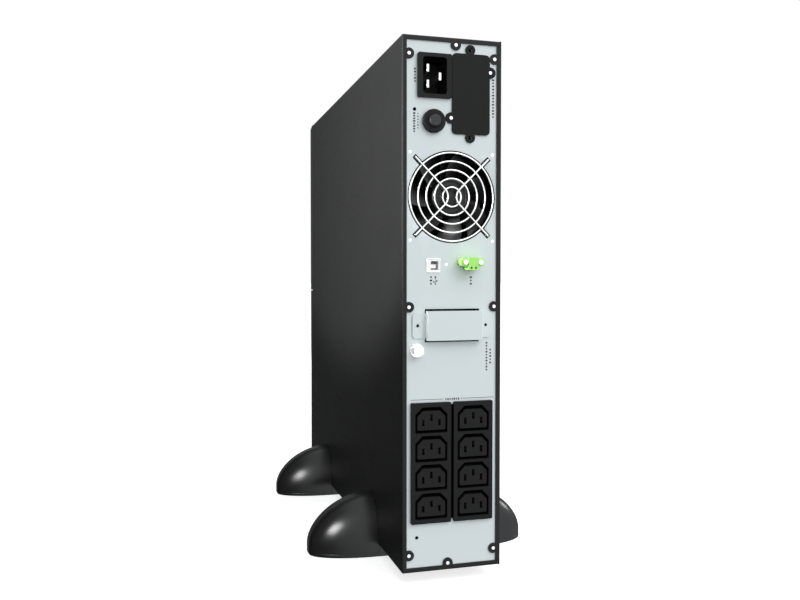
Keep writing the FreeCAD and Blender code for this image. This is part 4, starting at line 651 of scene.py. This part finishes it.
@dataclass
class Screws:
    """Pan-head screws with a cross recess."""

    recess: float = 1.1 * MM
    length: float = 0.5
    height: float = 1.8 * MM
    shank: float = 1.45 * MM
    shank_length: float = 7 * MM
    head_radius: float = 3.0 * MM
    port_head_radius: float = 3.5 * MM
    cover_edge: float = 37.0 * MM

    def head(self, radius: float, height: float, turn: float) -> bmesh.types.BMesh:
        """One screw head at the origin, facing rearward.

        Args:
            radius: the head's radius.
            height: its height.
            turn: how far its cross is turned.

        Returns:
            The head's mesh.
        """
        blank = bmesh.new()
        profile = [(0, height), (radius * 0.84, height * 0.98), (radius * 0.98, height * 0.6),
                   (radius, 0), (0, 0)]
        turned(blank, profile, Vector((0, 0, 0)), steps=28)
        cutter = bmesh.new()
        reach, half = radius * self.length, radius * 0.15
        for quarter in range(2):
            floor = Vector((-reach, height - self.recess, -half))
            arm = slab(cutter, floor, Vector((reach, height + MM, half)))
            spin = Matrix.Rotation(turn + quarter * math.pi / 2, 3, "Y")
            bmesh.ops.rotate(cutter, verts=arm, matrix=spin, cent=(0, 0, 0))
        bmesh.ops.recalc_face_normals(cutter, faces=cutter.faces)
        return carve(blank, cutter)

    def group(self, node: str, places: Iterable[Spot], radius: float) -> None:
        """Screws of one kind, on one face.

        Args:
            node: the CAD node that they stand for.
            places: (x, z) of each screw.
            radius: the heads' radius.
        """
        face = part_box(node)[1][1] - self.height
        bm = bmesh.new()
        for index, (x, z) in enumerate(places):
            head = self.head(radius, self.height, 0.5 + index * 1.1)
            bmesh.ops.translate(head, verts=head.verts, vec=(x, face, z))
            carrier = bpy.data.meshes.new("screw")
            head.to_mesh(carrier)
            head.free()
            bm.from_mesh(carrier)
            bpy.data.meshes.remove(carrier)
            neck = Vector((x, face, z))
            wire(bm, neck - REARWARD * self.shank_length, neck, self.shank)
        finished(node + "_made", bm, Finishes.SCREW, body_of(node), [node],
                 Edge(0.06 * MM, 1, math.radians(45)))

    def build(self) -> None:
        """Every group of screws on the rear panel."""
        edge = self.cover_edge
        cover = [(edge, 432.9 * MM), (edge, 228.2 * MM), (edge, 24.5 * MM), (-3.0 * MM, 442.2 * MM),
                 (3.4 * MM, 15.7 * MM), (-edge, 432.9 * MM), (-edge, 228.2 * MM), (-edge, 24.5 * MM)]
        self.group("cover_screws", cover, self.head_radius)
        low, high = (Vector(corner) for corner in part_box("fan_screws"))
        pitch = (high.x - low.x) / 2 - self.head_radius
        centre = (low + high) / 2
        corners = [(centre.x + side * pitch, centre.z + rise * pitch) for side in (-1, 1) for rise in (-1, 1)]
        self.group("fan_screws", corners, self.head_radius)
        low, high = (Vector(corner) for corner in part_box("slot_screws"))
        inset = self.head_radius
        ears = [(low.x + inset, high.z - inset), (high.x - inset, low.z + inset)]
        self.group("slot_screws", ears, self.head_radius)
        comm = middle("comm_screw")
        self.group("comm_screw", [(comm.x, comm.z)], self.port_head_radius)


@dataclass
class Mark:
    """A short row of printed dashes."""

    x: float
    z: float
    count: int
    pitch: float
    wide: float = 2.0 * MM
    tall: float = 1.3 * MM
    down: bool = True


@dataclass
class RearPanel:
    """Grey panel with its printed marks, and the bridge cover, connector and earth screw on it."""

    print_depth: float = 0.06 * MM
    line_z: float = 152.0 * MM
    line_thick: float = 0.35 * MM

    def marks(self) -> None:
        """Plain dashes in place of legends, a branched sign and the thin line over the outlets."""
        rows = [
            Mark(31.8 * MM, 421.0 * MM, 5, 2.5 * MM, 1.7 * MM),
            Mark(32.4 * MM, 385.2 * MM, 8, 2.1 * MM),
            Mark(29.3 * MM, 385.0 * MM, 6, 2.3 * MM, 1.2 * MM, 1.0 * MM),
            Mark(-36.0 * MM, 415.9 * MM, 13, 2.53 * MM),
            Mark(18.0 * MM, 252.6 * MM, 3, 2.7 * MM),
            Mark(-16.7 * MM, 252.5 * MM, 3, 2.7 * MM),
            Mark(-30.8 * MM, 197.8 * MM, 10, 2.5 * MM, 1.7 * MM),
            Mark(-34.1 * MM, 192.0 * MM, 5, 2.7 * MM, 1.7 * MM),
            Mark(5.0 * MM, self.line_z, 7, -1.85 * MM, 1.2 * MM, 1.7 * MM, False),
            Mark(14.2 * MM, 252.6 * MM, 2, 5.6 * MM, 1.3 * MM),
            Mark(15.5 * MM, 248.7 * MM, 1, MM, 1.1 * MM),
            Mark(13.0 * MM, 249.4 * MM, 1, MM, 1.1 * MM),
        ]
        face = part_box("rear_panel")[1][1]
        bm = bmesh.new()
        for row in rows:
            for index in range(row.count):
                stretch = 0.8 + 0.2 * math.sin(index * 2.4 + row.x / MM)
                x = row.x if row.down else row.x + row.pitch * index
                z = row.z - row.pitch * index if row.down else row.z
                half = Vector((row.wide * stretch / 2, 0, row.tall / 2))
                centre = Vector((x, face, z))
                slab(bm, centre - half, centre + half + REARWARD * self.print_depth)
        lines = [((-37.1, self.line_z / MM), (-8.1, self.line_z / MM)),
                 ((7.5, self.line_z / MM), (35.2, self.line_z / MM)),
                 ((14.05, 247.0), (14.35, 252.6))]
        for (left, low), (right, high) in lines:
            corner = Vector((left * MM, face, low * MM))
            far = Vector((right * MM, face + self.print_depth, high * MM + self.line_thick))
            slab(bm, corner, far)
        finished("panel_marks", bm, Finishes.PRINT, "case", edge=None)

    def build(self) -> None:
        """Makes the panel and what is fixed straight to it."""
        machined("rear_panel", Finishes.PANEL, None)
        machined("bridge_cover", Finishes.PANEL, Edge(0.3 * MM, 3, math.radians(20)))
        machined("battery_connector", Finishes.SOCKET)
        machined("ground_screw", Finishes.SCREW, Edge(0.35 * MM))
        self.marks()


@dataclass
class Stand:
    """Four stand halves: a glossy dome beside the case and a plate under it."""

    reach: float = 60.2 * MM
    half_length: float = 27.8 * MM
    height: float = 53.0 * MM
    rim: float = 8.5 * MM
    power: float = 2 / 1.8
    band: float = 4.0 * MM
    seam: float = 0.15 * MM
    groove_height: float = 3.2 * MM
    groove: float = 0.35 * MM

    def profile(self) -> list[Spot]:
        """(distance out, height) from the floor's middle round to the top of the dome."""
        low, high = self.groove_height - self.groove, self.groove_height + self.groove
        points = [(0.0, 0.0), (self.reach - 0.7 * MM, 0.0), (self.reach, 0.7 * MM), (self.reach, low),
                  (self.reach - self.groove, self.groove_height), (self.reach, high), (self.reach, self.rim)]
        count = 30
        for step in range(1, count + 1):
            angle = math.pi / 2 * step / count
            out = self.reach * math.cos(angle) ** self.power if step < count else 0.0
            points.append((out, self.rim + (self.height - self.rim) * math.sin(angle) ** self.power))
        return points

    def half(self, node: str, side: int) -> None:
        """One stand half.

        Args:
            node: the CAD node that it stands for.
            side: 1 on the +X side of the case, -1 on the other.
        """
        low, high = (Vector(corner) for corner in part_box(node))
        y = (low.y + high.y) / 2
        shell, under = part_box("cover_shell")[1][0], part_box("cover_shell")[0][2]
        wall = shell + self.seam
        bm = bmesh.new()
        verts = turned(bm, self.profile(), Vector((0, 0, 0)), UPWARD, steps=64, angle=math.pi)
        bmesh.ops.rotate(bm, verts=verts, cent=(0, 0, 0), matrix=Matrix.Rotation(-math.pi / 2, 3, "Z"))
        bmesh.ops.scale(bm, verts=verts, vec=(1, (self.half_length - self.band) / self.reach, 1))
        for hand in (-1, 1):
            moved = [vert for vert in bm.verts if vert.co.y * hand > 1e-6]
            bmesh.ops.translate(bm, verts=moved, vec=(0, hand * self.band, 0))
        rim = [edge for edge in bm.edges if edge.is_boundary]
        bmesh.ops.holes_fill(bm, edges=rim, sides=0)
        bmesh.ops.translate(bm, verts=bm.verts, vec=(wall, y, 0))
        reach = self.half_length
        slab(bm, Vector((self.seam, y - reach, 0)), Vector((shell, y + reach, under)))
        if side < 0:
            bmesh.ops.scale(bm, verts=bm.verts, vec=(-1, 1, 1))
        finished(node + "_made", bm, Finishes.FOOT, "case", [node],
                 Edge(0.3 * MM, 2, math.radians(24)))

    def build(self) -> None:
        """All four halves."""
        for where in ("rear", "front"):
            self.half("stand_{}_right".format(where), 1)
            self.half("stand_{}_left".format(where), -1)


@dataclass
class PowerEntry:
    """Mains inlet with its blades, and the breaker."""

    def build(self) -> None:
        """Makes the inlet and the breaker."""
        machined("inlet_housing", Finishes.SOCKET, Edge(0.5 * MM, 3))
        machined("inlet_blades", Finishes.SCREW, Edge(0.3 * MM, 3))
        machined("breaker_body", Finishes.SOCKET)
        machined("breaker_nut", Finishes.SOCKET, Edge(0.3 * MM))
        machined("breaker_button", Finishes.BEZEL, Edge(0.3 * MM))
        machined("slot_cover", Finishes.SLOT, Edge(0.4 * MM, 3))


@dataclass
class Fan:
    """Cooling fan: frame, turning rotor, and the wire guard in the panel's bore."""

    blades: int = 7
    hub: float = 16.5 * MM
    tip: float = 36.6 * MM
    wire: float = 0.8 * MM
    first_ring: float = 8.0 * MM
    ring_step: float = 7.07 * MM
    bend: float = 8.9 * MM
    reach: float = 31.4 * MM

    def rotor(self) -> None:
        """Cup, shaft and curved blades."""
        low, high = (Vector(corner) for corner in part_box("fan_rotor"))
        axis_point = Vector((0, 0, middle("fan_frame").z))
        back, front = low.y, high.y
        bm = bmesh.new()
        ridge = 0.45 * MM
        rings = [(0, front)]
        for share in (0.32, 0.56, 0.8):
            middle_ring = self.hub * share
            rings += [(middle_ring - ridge, front), (middle_ring, front - ridge),
                      (middle_ring + ridge, front)]
        wall, shaft, skirt = self.hub - 1.8 * MM, 1.5 * MM, front - 17 * MM
        under = front - 2.2 * MM
        cup = rings + [(self.hub - 2 * MM, front), (self.hub - 0.6 * MM, front - 0.5 * MM),
                       (self.hub, front - 2 * MM), (self.hub, skirt), (wall, skirt),
                       (wall, under), (shaft, under), (shaft, back), (0, back)]
        turned(bm, cup, axis_point, steps=64)
        centre_y = middle("fan_frame").y - 0.5 * MM
        for index in range(self.blades):
            sheet = bmesh.new()
            bmesh.ops.create_grid(sheet, x_segments=14, y_segments=10, size=0.5)
            for vert in sheet.verts:
                along, chord = vert.co.x + 0.5, vert.co.y
                radius = self.hub - 0.6 * MM + (self.tip - self.hub + 0.6 * MM) * along
                pitch = math.radians(46 - 20 * along)
                width = (17 + 7 * along) * MM
                swing = chord * width * math.cos(pitch) / radius + 0.22 * along ** 1.5
                camber = (0.25 - chord * chord) * 3.2 * MM
                angle = FULL_TURN * index / self.blades + swing
                vert.co = axis_point + Vector((radius * math.cos(angle),
                                               centre_y - chord * width * math.sin(pitch) * 0.8 + camber,
                                               radius * math.sin(angle)))
            bmesh.ops.solidify(sheet, geom=sheet.faces, thickness=1.1 * MM)
            bmesh.ops.recalc_face_normals(sheet, faces=sheet.faces)
            carrier = bpy.data.meshes.new("blade")
            sheet.to_mesh(carrier)
            sheet.free()
            bm.from_mesh(carrier)
            bpy.data.meshes.remove(carrier)
        finished("fan_rotor_made", bm, Finishes.FAN, "fan", ["fan_rotor"],
                 Edge(0.15 * MM, 2, math.radians(50)))

    def guard(self) -> None:
        """Five welded rings under two bent wires whose ends hook behind the panel."""
        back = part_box("fan_guard")[0][1]
        centre = Vector((0, back + self.wire, middle("fan_frame").z))
        bm = bmesh.new()
        for index in range(5):
            hoop(bm, centre, self.first_ring + self.ring_step * index, self.wire)
        over = centre + REARWARD * self.wire * 1.5
        start = self.bend * math.sqrt(0.5)
        for side in (-1, 1):
            first = math.radians(135 if side > 0 else -45)
            hoop(bm, over + Vector((side * self.bend * math.sqrt(2), 0, 0)), self.bend, self.wire, first,
                 math.pi / 2, 14)
            for rise in (-1, 1):
                inner = over + Vector((side * start, 0, rise * start))
                outer = over + Vector((side * self.reach, 0, rise * self.reach))
                wire(bm, inner, outer, self.wire)
                wire(bm, outer, Vector((outer.x, back, outer.z)), self.wire)
                bmesh.ops.create_uvsphere(bm, u_segments=12, v_segments=8, radius=self.wire,
                                          matrix=Matrix.Translation(outer))
        finished("fan_guard_made", bm, Finishes.GUARD, "case", ["fan_guard"], edge=None)

    def build(self) -> None:
        """Makes the fan."""
        machined("fan_frame", Finishes.FAN, Edge(0.3 * MM))
        machined("fan_bearing", Finishes.BRASS, Edge(0.1 * MM))
        self.rotor()
        self.guard()


@dataclass
class SignalPorts:
    """Data port, its board, and the green shut-off connector."""

    def build(self) -> None:
        """Makes the ports."""
        machined("usb_shell", Finishes.SCREW, Edge(0.12 * MM))
        machined("usb_insert", Finishes.PALE, Edge(0.12 * MM))
        machined("comm_board", Finishes.BOARD, Edge(0.1 * MM))
        machined("epo_socket", Finishes.CONNECTOR, Edge(0.2 * MM))
        machined("epo_plug", Finishes.CONNECTOR, Edge(0.35 * MM, 3))
        machined("epo_screws", Finishes.SINK, Edge(0.2 * MM))


@dataclass
class Outlets:
    """Two moulded banks of outlets and the contacts in their slots."""

    def build(self) -> None:
        """Makes the banks."""
        for hand in ("right", "left"):
            machined("outlet_bank_" + hand, Finishes.SOCKET, Edge(0.35 * MM, 3))
        machined("outlet_contacts", Finishes.BRASS, Edge(0.1 * MM))


@dataclass
class BatteryPack:
    """Tray on which four sealed batteries slide out of the front."""

    def build(self) -> None:
        """Makes the tray, its screws and the batteries."""
        machined("battery_tray", Finishes.ZINC, Edge(0.2 * MM))
        machined("tray_screws", Finishes.SOCKET, Edge(0.5 * MM))
        for where in ("front", "rear"):
            for height in ("lower", "upper"):
                machined("battery_{}_{}".format(where, height), Finishes.BATTERY, Edge(0.8 * MM, 3))
        machined("battery_terminals", Finishes.BRASS, Edge(0.1 * MM))


@dataclass
class Electronics:
    """Power board and what stands on it, and the transformer."""

    def build(self) -> None:
        """Makes the power electronics."""
        for node, finish in (("main_board", Finishes.BOARD), ("board_standoffs", Finishes.BRASS),
                             ("capacitors", Finishes.SLEEVE), ("relays", Finishes.RELAY),
                             ("heatsinks", Finishes.SINK), ("transformer_core", Finishes.CORE),
                             ("transformer_winding", Finishes.WINDING)):
            machined(node, finish, Edge(0.3 * MM))


@dataclass
class Front:
    """Bezel, pull-off battery door, turning display and its keys."""

    def build(self) -> None:
        """Makes the front."""
        machined("front_bezel", Finishes.BEZEL, Edge(0.4 * MM, 3))
        machined("battery_door", Finishes.BEZEL, Edge(0.4 * MM, 3))
        machined("display_housing", Finishes.SOCKET, Edge(0.5 * MM, 3))
        machined("display_window", Finishes.WINDOW, Edge(0.3 * MM, 3))
        machined("display_panel", Finishes.SCREEN, Edge(0.2 * MM))
        for node in ("key_escape", "key_up", "key_down", "key_enter", "power_button"):
            machined(node, Finishes.KEY, Edge(0.3 * MM, 3))


@dataclass
class Studio:
    """Pale floor, soft lights and the camera."""

    eye: Vector = Vector((0.2271, 0.8548, 0.2532))
    yaw: float = math.radians(15.89)
    pitch: float = math.radians(1.638)
    lens: float = 37.12
    tint: Colour = (0.965, 0.985, 1.0)
    spot_power: float = 25
    spot_cone: float = math.radians(84)
    spot_blend: float = 0.22
    spot_radius: float = 0.03
    strength: float = 1.1
    by_depth: tuple[Spot, ...] = ((-1.0, 0.15), (-0.4, 0.25), (0.0, 1.0), (1.0, 1.0))
    by_height: tuple[Spot, ...] = ((-1.0, 0.08), (-0.72, 0.12), (-0.4, 1.15), (0.0, 1.3), (1.0, 1.8))
    by_side: tuple[Spot, ...] = ((-1.0, 0.6), (-0.6, 1.2), (-0.2, 1.2), (0.25, 0.7), (0.5, 0.25), (1.0, 0.14))

    def camera(self) -> None:
        """A camera behind the object and to one side of it."""
        data = bpy.data.cameras.new("camera")
        data.lens = self.lens
        data.sensor_width = 36
        data.clip_start = 0.01
        item = bpy.data.objects.new("camera", data)
        toward = Vector((-math.sin(self.yaw) * math.cos(self.pitch),
                         -math.cos(self.yaw) * math.cos(self.pitch),
                         -math.sin(self.pitch)))
        item.location = self.eye
        item.rotation_mode = "QUATERNION"
        item.rotation_quaternion = toward.to_track_quat("-Z", "Y")
        bpy.context.scene.collection.objects.link(item)
        bpy.context.scene.camera = item

    def hang(self, name: str, data: bpy.types.Light, place: Vector, aim: Vector) -> bpy.types.Object:
        """Puts a lamp at a place and turns it towards a point.

        Args:
            name: the lamp's name.
            data: the light that it carries.
            place: where it hangs.
            aim: the point that it faces.

        Returns:
            The lamp, in the scene.
        """
        item = bpy.data.objects.new(name, data)
        item.location = place
        item.rotation_mode = "QUATERNION"
        item.rotation_quaternion = (aim - place).to_track_quat("-Z", "Y")
        bpy.context.scene.collection.objects.link(item)
        return item

    def lamp(self, name: str, place: Vector, aim: Vector, size: Spot, power: float) -> bpy.types.Object:
        """A soft light that faces a point.

        Args:
            name: the lamp's name.
            place: where it hangs.
            aim: the point that it faces.
            size: its width and height.
            power: its power in watts.

        Returns:
            The lamp, in the scene.
        """
        data = bpy.data.lights.new(name, "AREA")
        data.shape = "RECTANGLE"
        data.size, data.size_y = size
        data.energy = power
        return self.hang(name, data, place, aim)

    def strip(self, name: str, start: Vector, end: Vector, width: float, aim: Vector, power: float) -> None:
        """A long lamp between two points that shows only as a reflection.

        Args:
            name: the lamp's name.
            start: one end of it.
            end: its other end.
            width: how wide it is.
            aim: the point that it faces.
            power: its power in watts.
        """
        data = bpy.data.lights.new(name, "AREA")
        data.shape = "RECTANGLE"
        data.size, data.size_y = width, (end - start).length
        data.energy = power
        item = self.hang(name, data, (start + end) / 2, aim)
        along = (end - start).normalized()
        back = (item.location - aim).normalized()
        across = along.cross(back).normalized()
        back = across.cross(along).normalized()
        facing = Matrix((across, along, back)).transposed()
        item.rotation_quaternion = facing.to_quaternion()
        item.visible_diffuse = False

    def surroundings(self) -> None:
        """White to look at; as a light, dark straight below and weaker on the case's long side."""
        world = bpy.data.worlds.new("studio")
        world.use_nodes = True
        tree = world.node_tree
        tree.nodes.clear()
        path = tree.nodes.new("ShaderNodeLightPath")
        direction = tree.nodes.new("ShaderNodeTexCoord")
        split = tree.nodes.new("ShaderNodeSeparateXYZ")
        tree.links.new(direction.outputs["Object"], split.inputs[0])
        factors = []
        for axis, stops in (("X", self.by_side), ("Y", self.by_depth), ("Z", self.by_height)):
            place = tree.nodes.new("ShaderNodeMapRange")
            place.inputs["From Min"].default_value = -1.0
            ramp = tree.nodes.new("ShaderNodeValToRGB")
            while len(ramp.color_ramp.elements) < len(stops):
                ramp.color_ramp.elements.new(0.5)
            for element, (where, strength) in zip(ramp.color_ramp.elements, stops):
                element.position = (where + 1) / 2
                element.color = (strength / 2, strength / 2, strength / 2, 1)
            tree.links.new(split.outputs[axis], place.inputs[0])
            tree.links.new(place.outputs[0], ramp.inputs[0])
            factors.append(ramp.outputs[0])
        product, second, scaled = (tree.nodes.new("ShaderNodeMath") for index in range(3))
        for node in (product, second, scaled):
            node.operation = "MULTIPLY"
        scaled.inputs[1].default_value = 8 * self.strength
        lit = tree.nodes.new("ShaderNodeBackground")
        lit.inputs["Color"].default_value = (*self.tint, 1)
        seen = tree.nodes.new("ShaderNodeBackground")
        seen.inputs["Color"].default_value = (1, 1, 1, 1)
        mix = tree.nodes.new("ShaderNodeMixShader")
        output = tree.nodes.new("ShaderNodeOutputWorld")
        for start, end in ((factors[0], product.inputs[0]), (factors[1], product.inputs[1]),
                           (product.outputs[0], second.inputs[0]), (factors[2], second.inputs[1]),
                           (second.outputs[0], scaled.inputs[0]), (scaled.outputs[0], lit.inputs["Strength"]),
                           (path.outputs["Is Camera Ray"], mix.inputs[0]), (lit.outputs[0], mix.inputs[1]),
                           (seen.outputs[0], mix.inputs[2]), (mix.outputs[0], output.inputs[0])):
            tree.links.new(start, end)
        bpy.context.scene.world = world

    def floor(self) -> None:
        """A wide white floor that takes shadows but sends no light back."""
        bm = bmesh.new()
        bmesh.ops.create_grid(bm, x_segments=1, y_segments=1, size=30)
        bmesh.ops.translate(bm, verts=bm.verts, vec=(0, 0, -0.0002))
        mesh = bpy.data.meshes.new("floor")
        bm.to_mesh(mesh)
        bm.free()
        shader = Shader("floor_paper")
        material = shader.surface({
            "Base Color": (0.6, 0.6, 0.6, 1),
            "Roughness": 1.0,
            "Specular IOR Level": 0.0,
            "Emission Color": (1, 1, 1, 1),
            "Emission Strength": 0.75,
        })
        mesh.materials.append(material)
        item = bpy.data.objects.new("floor", mesh)
        item.visible_diffuse = False
        item.visible_glossy = False
        bpy.context.scene.collection.objects.link(item)

    def build(self) -> None:
        """Sets the stage."""
        self.camera()
        self.surroundings()
        self.floor()
        self.lamp("key_box", Vector((-0.8, 1.3, 1.2)), Vector((0.0, 0.21, 0.23)), (0.6, 0.6), 5)
        self.strip("foot_strip", Vector((0.84, 1.09, 0.37)), Vector((0.65, 1.08, 0.66)), 0.36,
                   Vector((0.08, 0.12, 0.04)), 14)
        self.strip("far_foot_strip", Vector((-0.95, -0.05, 0.32)), Vector((-0.9, 0.05, 0.42)), 0.15,
                   Vector((-0.08, 0.12, 0.04)), 1.2)
        fill = self.lamp("front_fill", Vector((0.0, -1.6, 0.9)), Vector((0.0, -0.22, 0.22)), (1.2, 1.2), 30)
        fill.visible_glossy = False
        spot = bpy.data.lights.new("side_spot", "SPOT")
        spot.energy = self.spot_power
        spot.spot_size = self.spot_cone
        spot.spot_blend = self.spot_blend
        spot.shadow_soft_size = self.spot_radius
        self.hang("side_spot", spot, Vector((0.52, 0.2, 0.44)), Vector((0.043, 0.06, 0.54)))
        bpy.context.scene.view_settings.view_transform = "Standard"


def main() -> None:
    """Builds everything in order."""
    logging.basicConfig(level=logging.INFO, format="%(name)s: %(message)s")
    parts: list[tuple[str, Callable[[], None]]] = [
        ("studio", Studio().build), ("case", Case().build), ("rear panel", RearPanel().build),
        ("screws", Screws().build), ("stand", Stand().build), ("power entry", PowerEntry().build),
        ("fan", Fan().build), ("signal ports", SignalPorts().build), ("outlets", Outlets().build),
        ("battery pack", BatteryPack().build), ("electronics", Electronics().build), ("front", Front().build)]
    for name, build in parts:
        build()
        log.info("built the %s", name)


if __name__ == "__main__":
    main()
